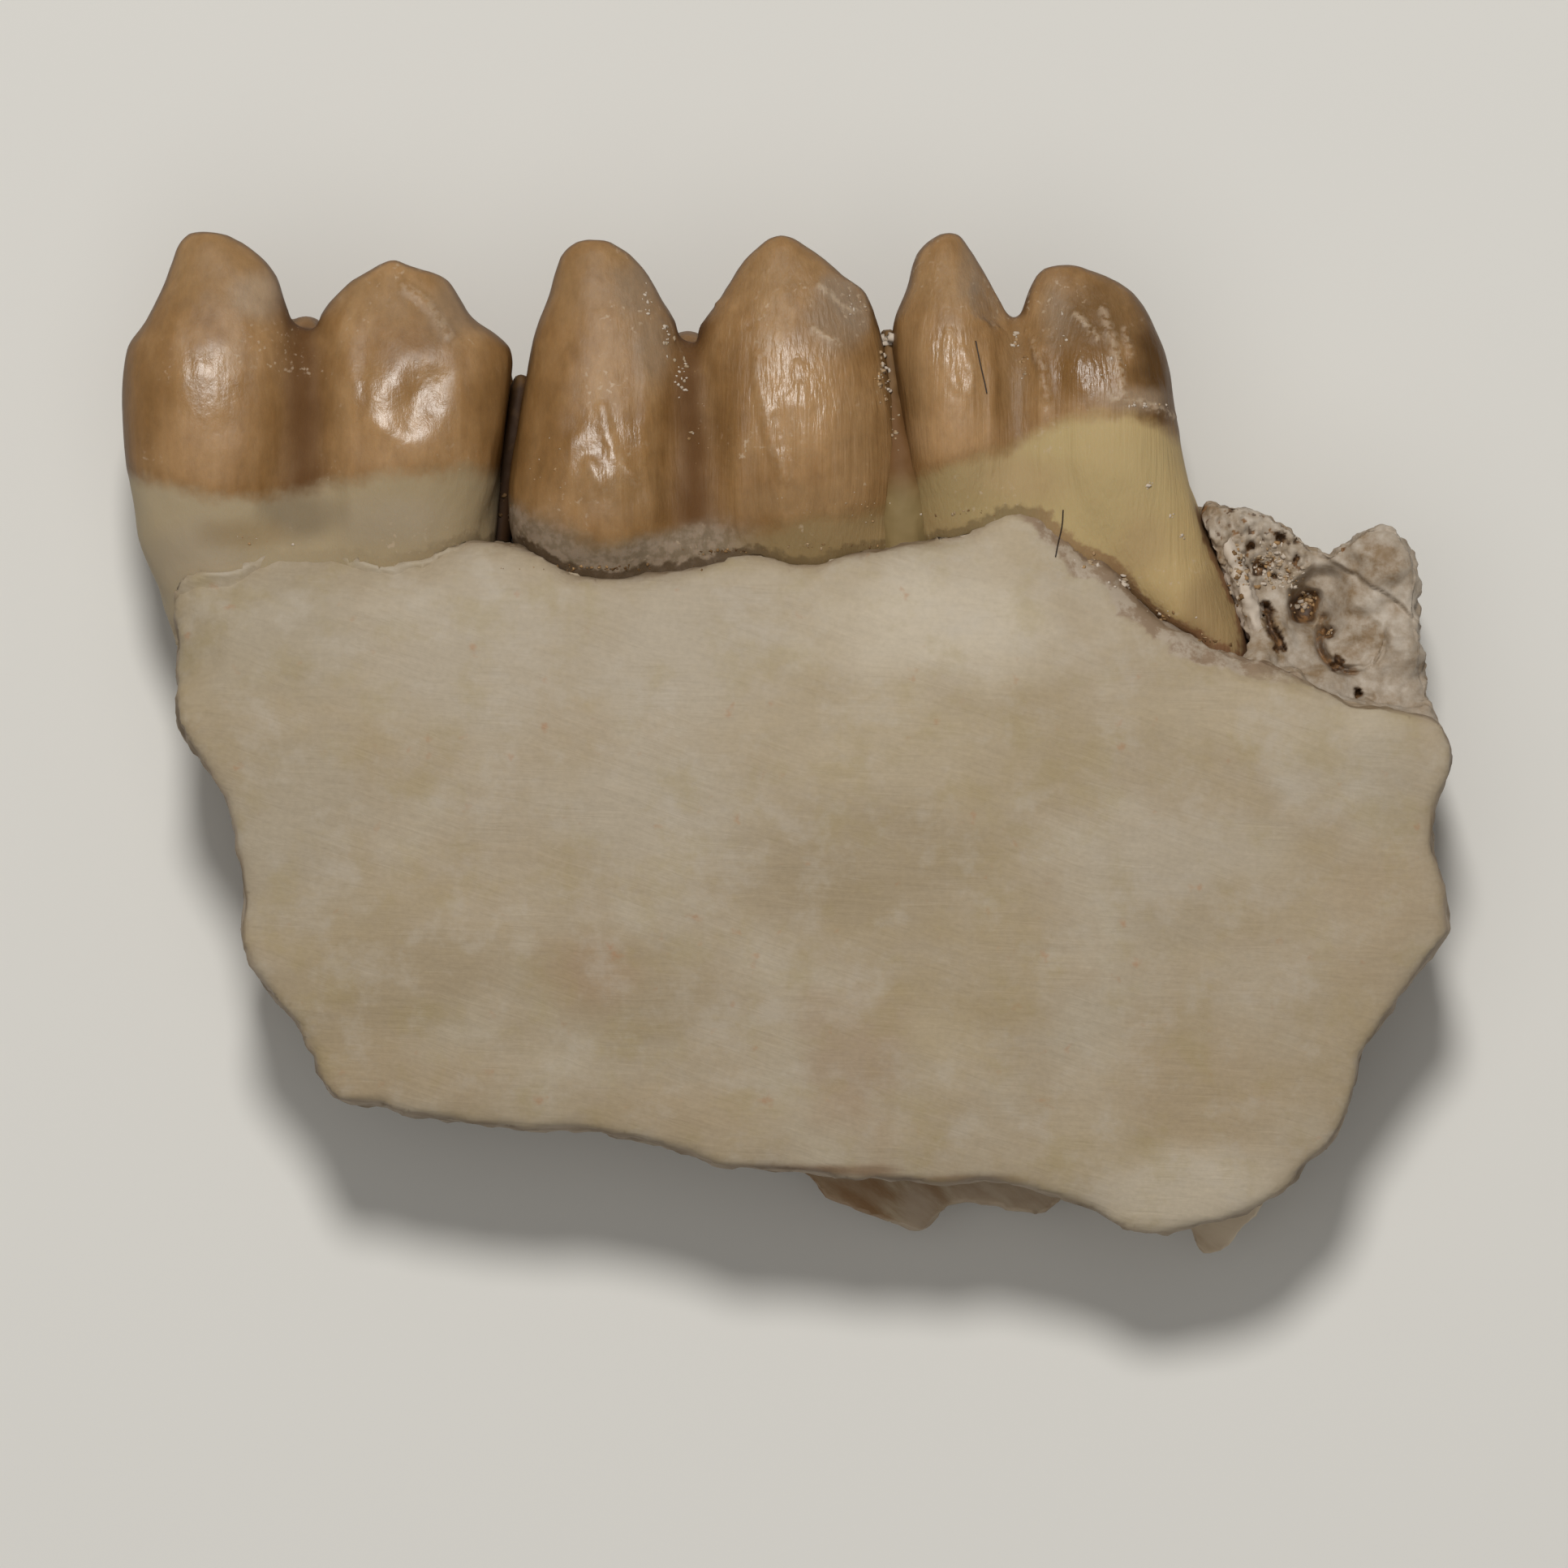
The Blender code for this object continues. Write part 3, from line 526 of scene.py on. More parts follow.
frontMolar = {
    "node": "molar_front",
    "cusps": [
        [(3.4, 2.2, 4.15), (4.2, 2.18, 4.15), (5.0, 2.16, 4.14), (6.0, 2.08, 4.12),
         (7.0, 1.92, 4.1), (7.6, 1.93, 4.05), (7.95, 2.08, 3.93), (8.4, 2.24, 3.67),
         (8.8, 2.3, 3.44), (9.08, 2.5, 3.27), (9.3, 2.86, 3.12)],
        [(3.0, 5.6, 7.85), (3.7, 4.95, 7.6), (4.4, 4.45, 7.4), (5.2, 4.35, 7.2), (6.0, 4.32, 7.07),
         (6.9, 4.28, 6.93), (7.5, 4.25, 6.72), (7.95, 4.3, 6.5), (8.3, 4.42, 6.22),
         (8.52, 4.53, 5.8), (8.7, 4.7, 5.3)],
    ],
    "bulges": [5.6, 5.5],
    "webs": [((4.2, 3.4), (4.17, 7.6), 0.34, (1.7, 4.0))],
    "troughs": [((4.2, 3.4), (4.17, 7.6), 0.6, 4.62, 0.2)],
    "neck": [(3.0, 2.3, 7.9, 4.45), (3.8, 2.18, 7.6, 4.7), (4.6, 2.16, 7.35, 4.85),
             (5.2, 2.18, 7.2, 4.85), (5.8, 2.25, 6.95, 4.7), (6.3, 2.4, 6.8, 4.45)],
    "roots": [
        [(5.0, 2.3, 4.3), (2.9, 2.4, 4.2), (0.4, 2.6, 4.0), (-2.4, 2.8, 3.7)],
        [(5.2, 4.5, 7.1), (4.6, 4.6, 7.4), (4.0, 4.95, 7.63), (3.4, 5.3, 7.88), (2.8, 5.85, 8.1),
         (2.3, 6.5, 8.28), (1.8, 7.15, 8.42), (0.6, 7.6, 8.7), (-1.0, 8.1, 8.95)],
    ],
    "enamelEdge": [(1.9, 4.75), (3.0, 5.1), (4.2, 5.5), (5.0, 5.85), (6.2, 6.05), (6.7, 5.9),
                   (7.3, 5.45)],
    "flats": [((3.45, 8.2, 4.45), (0.72, 0.3, 0.62), 0.8, 0.9, 0.7),
              ((5.0, 8.1, 4.75), (-0.15, 0.5, 0.85), 0.75, 0.7, 0.6),
              ((6.5, 7.2, 4.6), (0.62, 0.15, 0.77), 1.3, 0.7, 0.0)],
    "ridges": [([(5.24, 7.8), (5.42, 7.6), (5.6, 7.35)], 0.11, 0.035, 0.6),
               ([(5.72, 7.9), (5.95, 7.1), (6.08, 6.3)], 0.14, 0.05, 0.5),
               ([(6.1, 7.5), (6.22, 7.05)], 0.1, 0.03, 0.45),
               ([(5.9, 6.25), (6.4, 6.2), (7.0, 5.95)], 0.1, 0.03, 0.6),
               ([(4.45, 7.3), (4.62, 6.8), (4.7, 6.3)], 0.13, 0.05, 0.3),
               ([(2.95, 7.4), (2.9, 6.8), (3.1, 6.4)], 0.12, 0.03, 0.2),
               ([(3.2, 7.1), (3.36, 6.7), (3.3, 6.35)], 0.12, 0.03, 0.2)],
    "swells": [(5.3, 6.9, 0.5, 0.7, 0.05), (6.7, 4.3, 0.3, 1.6, -0.02)],
    "polished": [(3.05, 6.8, 0.6, 0.8), (5.4, 6.7, 0.7, 0.5)],
}

# what is painted on a molar for its finish to read
toothMarks = ("belowEnamel", "valley", "polished", "sideShade", "wornFlat", "rubbedRidge", "nearBone")

# shares of a cusp's height, with the depth z of its outward and inward walls there
tongueWall = [(0.0, 4.55, 2.4), (0.15, 4.8, 2.3), (0.35, 5.12, 2.3), (0.55, 5.15, 2.5),
              (0.75, 4.85, 2.9), (0.9, 4.45, 3.2), (1.0, 4.15, 3.5)]
cheekWall = [(0.0, 1.5, 3.6), (0.15, 1.15, 3.7), (0.4, 0.8, 3.5), (0.6, 0.9, 3.1),
             (0.8, 1.25, 2.8), (0.93, 1.6, 2.65), (1.0, 1.85, 2.5)]
rootWall = [(0.0, 4.25, 1.8), (0.25, 4.6, 1.65), (0.5, 4.45, 1.8), (1.0, 3.6, 2.5)]
# a web's width and height along it: share of its length, share of its half width, share of its depth
webForm = [(0.0, 1.2, 1.12), (0.3, 1.1, 1.06), (0.5, 1.0, 1.0), (0.8, 0.95, 0.9), (0.94, 0.75, 0.72),
           (1.0, 0.4, 0.55)]
cuspForm = {
    # how square the rings are: 1 is an ellipse, and less is squarer
    "tongueCorner": 0.9, "cheekCorner": 1.2, "webCorner": 0.95, "neckCorner": 0.45, "siltCorner": 0.8,
    "bulgeShare": 0.45,                       # share of a cusp's height at which its bulge is drawn
    "cheekHeight": 0.92, "cheekBulge": 3.0,   # share of the tongue side's height; mm above the cusp's foot
    "neckLow": 1.6,                           # z of the neck's cheek side
    "rootEnd": (0.4, 0.35),                   # how much narrower a root ends, and how far on
    # the crescent groove: mm under the tip, half width, how tall for its width, share of the cusp's width,
    # and the z it swings about and by
    "grooveDrop": 0.85, "grooveHalfWidth": 0.24, "grooveTall": 3.2, "grooveReach": 0.62,
    "grooveSwing": (3.05, 0.95), "grooveSteps": (17, 16),
}
# how a trough is filled, in mm: how far its bottom stays under the cusps at least, how much lower it
# runs out at its top, how far its sides end under the cusps, above which z it is filled, and over what
# height it ends
troughFill = {"least": 0.1, "runOut": 0.55, "under": 0.06, "above": 3.3, "end": 0.35}


def wallAt(table, share):
    rows = np.array(smoothThrough(table, 5))
    return sorted(np.interp(share, rows[:, 0], rows[:, side]) for side in (1, 2))


def ovalRing(y, left, right, low, high, corner=cuspForm["tongueCorner"]):
    angles = np.linspace(0, 2 * math.pi, toothSkin["ringPoints"], endpoint=False)
    c, s = np.cos(angles), np.sin(angles)
    x = (left + right) / 2 + (right - left) / 2 * np.sign(c) * abs(c) ** corner
    z = (low + high) / 2 + (high - low) / 2 * np.sign(s) * abs(s) ** corner
    return [(float(a), float(y), float(b)) for a, b in zip(x, z)]


def addCusp(shape, rows, bulge, table, height, corner):
    base, tip = rows[0][0], rows[-1][0]
    rings = []
    for y, left, right in smoothThrough(rows, toothSkin["rowSteps"]):
        share = np.interp(y, (base, bulge, tip), (0.0, cuspForm["bulgeShare"], 1.0))
        low, high = wallAt(table, share)
        rings.append(ovalRing(base + (y - base) * height, left, right, low, high, corner))
    loftRings(shape, rings)


def addRoot(shape, rows):
    top, tip = rows[0][0], rows[-1][0]
    rings = []
    for y, left, right in smoothThrough(rows, toothSkin["rowSteps"]):
        low, high = wallAt(rootWall, (top - y) / (top - tip))
        rings.append(ovalRing(y, left, right, low, high))
    last = np.array(rings[-1])
    middle = last.mean(axis=0)
    narrower, onward = cuspForm["rootEnd"]
    rings.append([tuple(p) for p in middle + (last - middle) * narrower - (0, onward, 0)])
    loftRings(shape, rings)


def addWeb(shape, foot, top, half, depths):
    low, high = depths
    rings = []
    for share, width, rise in smoothThrough(webForm, 3):
        x, y = (a + (b - a) * share for a, b in zip(foot, top))
        rings.append(ovalRing(y, x - half * width, x + half * width, low, low + (high - low) * rise,
                              cuspForm["webCorner"]))
    loftRings(shape, rings)


def addNeck(shape, rows):
    loftRings(shape, [ovalRing(y, left, right, cuspForm["neckLow"], high, cuspForm["neckCorner"])
                      for y, left, right, high in smoothThrough(rows, toothSkin["rowSteps"])])


def acrossTrough(points, trough):
    # how far up a trough each point is, and how far to its side, both as shares
    (footX, footY), (topX, topY), reach, *_ = trough
    share = np.clip((points[:, 1] - footY) / (topY - footY), 0, 1)
    return share, abs(points[:, 0] - footX - (topX - footX) * share) / reach


def fillTroughs(points, tooth):
    # raises the sides of each valley on the tongue side, so that cusp runs into cusp
    rows = np.array(smoothThrough(tongueWall, 5))
    y = points[:, 1]
    for trough in tooth["troughs"]:
        _, (_, topY), _, low, _ = trough
        share, off = acrossTrough(points, trough)
        heights = [np.interp(y, (c[0][0], bulge, c[-1][0]), (0, cuspForm["bulgeShare"], 1))
                   for c, bulge in zip(tooth["cusps"], tooth["bulges"])]
        tall = np.mean([np.interp(height, rows[:, 0], rows[:, 1]) for height in heights], axis=0)
        bottom = np.minimum(low, tall - troughFill["least"]) - troughFill["runOut"] * ramp(share, 0.75, 1.0)
        rise = np.sin(np.clip(off, 0, 1) * math.pi / 2) ** 2
        target = bottom + (tall - troughFill["under"] - bottom) * rise
        here = (points[:, 2] > troughFill["above"]) & (off < 1) & (y < topY)
        lift = np.clip(target - points[:, 2], 0, None) * here * fade(y, topY - troughFill["end"], topY)
        points[:, 2] += lift * fade(off, 0.75, 1.0)
    return points


def crescentTool(rows):
    # the half-ring groove between a tongue-side cusp and the crescent behind it
    y = rows[-3][0] - cuspForm["grooveDrop"]
    centre = (rows[-1][1] + rows[-1][2]) / 2
    half = (rows[4][2] - rows[4][1]) / 2 * cuspForm["grooveReach"]
    z, swing = cuspForm["grooveSwing"]
    along, around = cuspForm["grooveSteps"]
    up = np.array([0, cuspForm["grooveTall"], 0])
    rings = []
    for turn in np.linspace(math.pi, 2 * math.pi, along):
        out = np.array([math.cos(turn), 0, math.sin(turn)])
        at = np.array([centre + half * out[0], y, z + swing * out[2]])
        rings.append([tuple(at + cuspForm["grooveHalfWidth"] * (out * math.cos(a) + up * math.sin(a)))
                      for a in np.linspace(0, 2 * math.pi, around, endpoint=False)])
    shape = bmesh.new()
    loftRings(shape, rings)
    return pieceFromShape("grooveTool", shape)


def cutAway(piece, tool):
    cut = piece.modifiers.new("cut", "BOOLEAN")
    cut.operation = "DIFFERENCE"
    cut.object = tool
    cut.solver = "EXACT"
    bakeModifiers(piece)
    bpy.data.objects.remove(tool)


def wearFlats(points, flats):
    # returns the worn points, and from 0 to 1 how much of a flat each one is
    worn = np.zeros(len(points))
    for at, facing, reach, strength, grey in flats:
        facing = np.array(facing) / np.linalg.norm(facing)
        away = points - np.array(at)
        proud = away @ facing
        across = np.linalg.norm(away - proud[:, None] * facing, axis=1)
        near = fade(across + 0.4 * reach * bumps(points, 0.6, 3), reach * 0.5, reach)
        take = np.clip(proud, 0, 0.6) * near * strength
        points = points - take[:, None] * facing
        worn = np.maximum(worn, grey * near * ramp(proud, -0.06, 0.02))
    return points, worn


def raiseForms(points, tooth):
    # how far each point on the tongue side stands out, and how pale it is rubbed there
    lift, pale = np.zeros(len(points)), np.zeros(len(points))
    wobble = bumps(points, 0.2, 2)
    for line, half, height, paleness in tooth["ridges"]:
        gap = np.min([alongLine(points, a, b)[0] for a, b in zip(line, line[1:])], axis=0)
        gap = gap + 0.3 * half * wobble
        lift += height * fade(gap, 0, half)
        pale = np.maximum(pale, paleness * fade(gap, half * 0.2, half * 0.9))
    for x, y, wide, high, height in tooth["swells"]:
        lift += height * fade(ovalGap(points, x, y, wide, high) + 0.3 * bumps(points, 0.9, 2), 0, 1)
    onTongue = points[:, 2] > 3
    return lift * onTongue, pale * onTongue


def makeMolar(tooth, finish, boneTree):
    shape = bmesh.new()
    for rows, bulge in zip(tooth["cusps"], tooth["bulges"]):
        addCusp(shape, rows, bulge, tongueWall, 1.0, cuspForm["tongueCorner"])
        addCusp(shape, rows, rows[0][0] + cuspForm["cheekBulge"], cheekWall, cuspForm["cheekHeight"],
                cuspForm["cheekCorner"])
    for rows in tooth["roots"]:
        addRoot(shape, rows)
    for web in tooth["webs"]:
        addWeb(shape, *web)
    addNeck(shape, tooth["neck"])
    piece = pieceFromShape(tooth["node"] + "_enamel_and_roots", shape)
    skinOver(piece, *toothSkin["roughSkin"])
    movePoints(piece.data, fillTroughs(pointsOf(piece.data), tooth))
    for rows in tooth["cusps"]:
        cutAway(piece, crescentTool(rows))
    skinOver(piece, *toothSkin["fineSkin"])
    mesh = piece.data
    points = pointsOf(mesh)

    # the troughs between cusps are filled to smooth hollows
    find, deep, widen, fill = toothSkin["hollows"]
    crease = ramp(hollowness(mesh, points, find), *deep) * ramp(points[:, 2], *toothSkin["hollowZ"])
    crease = relax(mesh, np.repeat(crease[:, None], 3, 1), 0.5, widen)[:, 0]
    points = relax(mesh, points, 0.8 * np.clip(crease * 1.6, 0, 1), fill)
    movePoints(mesh, points)
    normals = normalsOf(mesh)
    edge = np.array(tooth["enamelEdge"])
    belowEnamel = np.interp(points[:, 0], edge[:, 0], edge[:, 1]) - points[:, 1]
    crown = ramp(-belowEnamel, -0.15, 0.15)
    swell = layeredBumps(points, toothSkin["swells"]) + toothSkin["enamelStep"] * (crown - 0.5)
    swell += crown * layeredBumps(points, toothSkin["wrinkles"])
    lift, pale = raiseForms(points, tooth)
    points = points + normals * (swell + lift)[:, None]
    points, worn = wearFlats(points, tooth["flats"])
    points[:, 2] += worn * layeredBumps(points, toothSkin["wornBumps"])
    movePoints(mesh, points)
    far, (low, _) = toothSkin["boneReach"], toothSkin["markedZ"]
    nearBone = [min(boneTree.find_nearest(p)[3], far) if p[2] > low else far for p in points.tolist()]
    wander = bumps(points, 0.9, 3)
    valley, polished = np.zeros(len(points)), np.zeros(len(points))
    # painted shade along the troughs between cusps
    for trough in tooth["troughs"]:
        share, off = acrossTrough(points, trough)
        valley = np.maximum(valley, trough[-1] * fade(off + 0.15 * wander, 0.0, 0.85 - 0.25 * share))
    for x, y, wide, high in tooth["polished"]:
        away = ovalGap(points, x, y, wide, high) + 0.35 * wander
        polished = np.maximum(polished, fade(away, 0.55, 1.15))
    onTongue = ramp(points[:, 2], *toothSkin["markedZ"])
    # sideShade, painted shade, is how far each point faces away from the camera
    for name, values in zip(toothMarks, (belowEnamel, valley * onTongue, polished * onTongue,
                                         1 - abs(normalsOf(mesh)[:, 2]), worn * crown, pale, nearBone)):
        paintPoints(mesh, name, values)
    settle(piece, finish)
    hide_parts(tooth["node"])
    return piece


# finishes

boneLook = {
    "tones": ((0.32, "#9d8b6c"), (0.5, "#a2927a"), (0.66, "#a99c87")),
    "fibreMm": (1.0, 0.12), "fibreTilts": (-3, -19), "fibreContrast": 0.04,
    "grainMm": 0.09, "grainContrast": 0.05,
    # how many of each pattern lie on 1 mm: tones 3 mm wide, clouds of 1.4 mm, crumbs of 0.6 mm and specks
    # of 0.2 mm, which is coarser than the real grain so that they show
    "tonesPerMm": 0.32, "cloudsPerMm": 0.7, "crumbsPerMm": 1.6, "specksPerMm": 5.0,
    "olivePerMm": 1.0, "chalkyPerMm": 1.2, "rustyPerMm": 2.4,
    "patchColours": ("#978556", "#b4aa9c", "#a0704a"),
    "wallTones": ((0.38, "#6f5a40"), (0.62, "#a3907a")), "wallLayerMm": (1.2, 0.22),
    "spongyTones": ((0.36, "#867055"), (0.47, "#9c8c79"), (0.64, "#b2a697")),
    # hollowShadeColour is painted shade for the hollows of the spongy corner
    "hollowShadeColour": "#7b6850", "poreColours": ("#412b18", "#7d5a36"), "rimColours": ("#86705b", "#aa9b8a"),
    # the splinter colours are made paler than the splinters' own, as painted light where the plate shades
    # them
    "splinterColours": ("#87633a", "#bfae93"), "splinterMm": (0.3, 1.3), "splinterTilt": 50,
    "splinterEdge": (-7.2, -7.7), "splinterZ": (3.6, 3.2),   # under this height y, and deeper than this z
    "roughness": (0.66, 0.52), "specular": 0.35, "ior": 1.5, "relief": 0.4, "reliefMm": 0.03,
}
boneTones = {
    "chalky": "#b8ab96", "greyBuff": "#a89b87", "buff": "#aa9a80", "dullGrey": "#9d907b",
    "warmBuff": "#9f8c70", "oliveBrown": "#96856a", "pinkBrown": "#977f64", "edgeBrown": "#6c4c2e",
}
# splinter tones; fresh and pale are made paler than the splinters' own colour, as painted light against the
# plate's shadow
splinterTones = {"rusty": "#8a6238", "fresh": "#b4a08a", "pale": "#e0cdb2"}
# broad stains: x, y, half width, half height in mm, which tone, strength
boneStains = [
    (-9.3, 2.0, 2.2, 1.4, "dullGrey", 0.8), (-5.9, 1.6, 2.2, 1.6, "greyBuff", 0.8),
    (-2.0, 1.7, 2.4, 1.3, "greyBuff", 0.8), (2.8, 2.2, 2.8, 1.2, "chalky", 0.9),
    (4.2, 3.6, 1.0, 0.8, "buff", 0.7), (-2.4, -1.2, 2.1, 1.2, "greyBuff", 0.8),
    (1.9, 0.1, 2.6, 1.1, "buff", 0.8), (1.3, -2.2, 2.2, 1.1, "oliveBrown", 0.75),
    (-9.0, -1.4, 1.6, 1.8, "dullGrey", 0.7), (-6.9, -4.4, 2.4, 1.1, "oliveBrown", 0.8),
    (-6.9, -6.0, 1.8, 0.7, "warmBuff", 0.7), (-2.9, -4.4, 2.0, 1.2, "oliveBrown", 0.7),
    (-3.6, -4.1, 0.9, 0.7, "pinkBrown", 0.6), (1.15, -5.8, 1.0, 1.5, "pinkBrown", 0.6),
    (3.0, -5.6, 0.8, 0.8, "buff", 0.7), (-1.7, -6.6, 1.6, 0.6, "warmBuff", 0.6),
    (7.2, -2.0, 2.0, 0.8, "greyBuff", 0.8), (6.9, -3.4, 0.9, 0.5, "dullGrey", 0.4),
    (7.4, -6.5, 1.9, 1.4, "warmBuff", 0.7), (10.6, -3.0, 1.0, 1.3, "warmBuff", 0.7),
    (8.4, 0.5, 2.4, 0.7, "buff", 0.7), (7.2, -8.1, 2.2, 0.8, "chalky", 0.9),
    (10.9, -0.6, 0.9, 0.9, "dullGrey", 0.6), (5.6, -7.2, 1.2, 0.7, "buff", 0.6),
    (0.3, -7.68, 1.5, 0.13, "edgeBrown", 0.7), (3.0, -7.85, 1.4, 0.1, "edgeBrown", 0.5),
]

splinterStainsAndPaintedLight = [
    (1.2, -8.2, 0.9, 0.6, "rusty", 0.6), (2.4, -8.5, 0.4, 0.7, "fresh", 0.8),
    (4.0, -8.2, 1.3, 0.5, "fresh", 0.6), (8.2, -8.6, 1.2, 1.0, "pale", 0.9),
]


def putColourOvals(add, inMm, wander, colour, stains, tones):
    # soft ragged ovals of colour over the colour so far
    for x, y, wide, high, name, strength in stains:
        away = add("length", add("squeezed", add("shifted", inMm, (x, y, 0)), (1 / wide, 1 / high, 0)))
        share = add("step", add("multiplyAdd", wander, 1.3, away), 2.05, 1.0, 0.0, strength)
        colour = add("blend", share, colour, tones[name])
    return colour


def makeBoneFinish():
    # bone that has turned to mineral: dry, faintly fibrous, and paler where it is polished, with painted
    # shade in its spongy hollows and painted light on the splinters under the plate
    finish, add = newMaterial("dryMineralisedBone")
    inMm = add("scaled", add("place"), 1 / mm)
    wander = add("grain", inMm, boneLook["cloudsPerMm"], 3.0)
    tone = add("grain", inMm, boneLook["tonesPerMm"], 5.0, 0.62)
    colour = add("tint", tone, stops=boneLook["tones"])
    colour = putColourOvals(add, inMm, wander, colour, boneStains, boneTones)

    # fibres: fine streaks along the jaw, which dip more steeply towards the front in places
    long, wide = boneLook["fibreMm"]
    level, steep = (add("grain", add("stretched", inMm, (long, wide, wide), (0, 0, math.radians(tilt))),
                        1.0, 3.0, 0.5, 0.5) for tilt in boneLook["fibreTilts"])
    fibre = add("mixed", add("step", wander, 0.42, 0.58), level, steep)
    fine = add("grain", inMm, 1 / boneLook["grainMm"], 2.0)
    shade = 1 - 2 * boneLook["fibreContrast"] - 2 * boneLook["grainContrast"]
    shade = add("multiplyAdd", fibre, 4 * boneLook["fibreContrast"], shade)
    shade = add("multiplyAdd", fine, 4 * boneLook["grainContrast"], shade)
    colour = add("scaled", colour, shade)

    # small olive and chalky patches a millimetre or so across, and a few faint rusty spots
    olive = add("grain", inMm, boneLook["olivePerMm"], 5.0, 0.65)
    chalky = add("grain", add("shifted", inMm, (31, 17, 5)), boneLook["chalkyPerMm"], 5.0, 0.65)
    rusty = add("grain", add("shifted", inMm, (7, 23, 11)), boneLook["rustyPerMm"], 3.0)
    shares = (add("step", olive, 0.48, 0.7, 0.0, 0.3), add("step", chalky, 0.48, 0.72, 0.0, 0.35),
              add("step", rusty, 0.66, 0.8, 0.0, 0.5))
    for share, code in zip(shares, boneLook["patchColours"]):
        colour = add("blend", share, colour, code)

    # broken walls show their layers, and are browner
    broad, deep = boneLook["wallLayerMm"]
    layers = add("grain", add("stretched", inMm, (broad, broad, deep)), 1.0, 5.0)
    onWall = add("multiply", add("painted", attribute_name="brokenWall"), 0.85)
    colour = add("blend", onWall, colour, add("tint", layers, stops=boneLook["wallTones"]))

    # the splinters under the plate are brown and coarsely layered, and their colours are made paler than
    # their own as painted light against the plate's shadow on them
    _, y, z = add("axes", inMm)
    under = add("multiply",
                add("step", add("multiplyAdd", wander, 0.6, y), *boneLook["splinterEdge"], 0.0, 0.9),
                add("step", z, *boneLook["splinterZ"]))
    wide, long = boneLook["splinterMm"]
    lean = (0, 0, math.radians(boneLook["splinterTilt"]))
    torn = add("grain", add("stretched", inMm, (wide, long, wide), lean), 1.0, 5.0, 0.6)
    splinterTintWithPaintedLight = add("blend", add("step", torn, 0.3, 0.7), *boneLook["splinterColours"])
    splinterTintWithPaintedLight = putColourOvals(add, inMm, wander, splinterTintWithPaintedLight, splinterStainsAndPaintedLight, splinterTones)
    colour = add("blend", under, colour, splinterTintWithPaintedLight)

    # spongy bone: greyer, crumbly, with rust in its pores, and painted shade in its hollows
    speckle = add("grain", inMm, boneLook["specksPerMm"], 4.0, 0.6)
    crumb = add("grain", inMm, boneLook["crumbsPerMm"], 6.0, 0.7)
    spongyTint = add("tint", crumb, stops=boneLook["spongyTones"])
    colour = add("blend", add("painted", attribute_name="spongy"), colour, spongyTint)
    # painted shade: pits and hollows are darkened by how deep they lie
    shadeInHollows = add("multiplyAdd", speckle, 0.3, add("painted", attribute_name="pit"))
    colour = add("blend", add("step", shadeInHollows, 0.25, 0.8, 0.0, 0.65), colour, boneLook["hollowShadeColour"])
    pore = add("multiplyAdd", speckle, 0.9, add("painted", attribute_name="pore"))
    rust = add("blend", add("step", speckle, 0.42, 0.6), *boneLook["poreColours"])
    colour = add("blend", add("step", pore, 0.6, 1.1, 0.0, 0.95), colour, rust)
    rim = add("multiplyAdd", speckle, 0.7, add("painted", attribute_name="stainedRim"))
    rimTint = add("blend", add("step", crumb, 0.44, 0.58), *boneLook["rimColours"])
    colour = add("blend", add("step", rim, 0.45, 1.05, 0.0, 0.85), colour, rimTint)

    height = add("multiplyAdd", crumb, 0.35, add("multiplyAdd", fine, 0.3, fibre))
    rough = add("spread", tone, 0.3, 0.7, *boneLook["roughness"])
    relief = add("relief", height, boneLook["relief"], boneLook["reliefMm"] * mm)
    add("result", add("surface", colour, rough, boneLook["specular"], boneLook["ior"], relief))
    return finish


enamelLook = {
    "streaks": ((0.34, "#7f5c33"), (0.5, "#906d44"), (0.66, "#a17f57")),
    "streakMm": (0.4, 3.0), "mottleMm": (0.16, 0.3), "mottleShade": (0.86, 1.14), "wrinkleMm": (0.07, 1.4),
    # how many of each pattern lie on 1 mm: clouds of 1.3 mm, specks of 0.17 mm and grit of 0.11 mm, drawn
    # coarser than real dust so that it shows
    "cloudsPerMm": 0.8, "specksPerMm": 6.0, "gritPerMm": 9.0,
    # valley and sideShade are painted shade, in the troughs and on enamel that turns away from the camera
    "valley": "#4e2c02", "sideShade": "#604018", "flat": "#8f7c68",
    # root colours along the row, by x in mm
    "roots": ((-12, "#a8977a"), (-5.3, "#9a8767"), (-4.8, "#846e4f"), (1.8, "#8a734b"),
              (5.0, "#b49e70"), (9.0, "#af9365")),
    "rootTip": "#86694a", "silt": "#917f6c", "siltDark": "#796955",
    "siltFrom": (-5.5, -4.9), "siltTo": (-0.2, -1.4),   # x over which the silt line starts, and ends
    "siltAndShadeLine": "#43301a", "frontRimLine": "#70452c", "dust": "#baa58c",
    # how strongly the line along the bone's edge shows, along the row from 0 to 1
    "rimLineShares": [(0.0, 0.0), (0.22, 0.12), (0.3, 0.35), (0.345, 1.0), (0.53, 0.85), (0.6, 0.45),
                      (0.78, 0.6), (0.95, 0.9)],
    "roughness": (0.23, 0.74),   # polished, and dull
    "specular": 0.24, "ior": 1.6, "relief": 0.7, "reliefMm": 0.025,
    "glow": 0.2, "glowTint": (1.0, 0.6, 0.3), "glowMm": 0.4,   # light scattered inside the enamel
}
enamelTones = {
    "honey": "#ad8960", "amber": "#94754f", "toffee": "#8a6b46", "brown": "#7b5931",
    "deepBrown": "#684b26", "nearBlack": "#4f330d", "chipped": "#8a745c", "paleChip": "#a08b73",
}
rootTones = {
    "greyCream": "#a19179", "smoke": "#75664f", "yellow": "#b49e71", "dullYellow": "#a98f67",
    "brownish": "#8f7650",
}
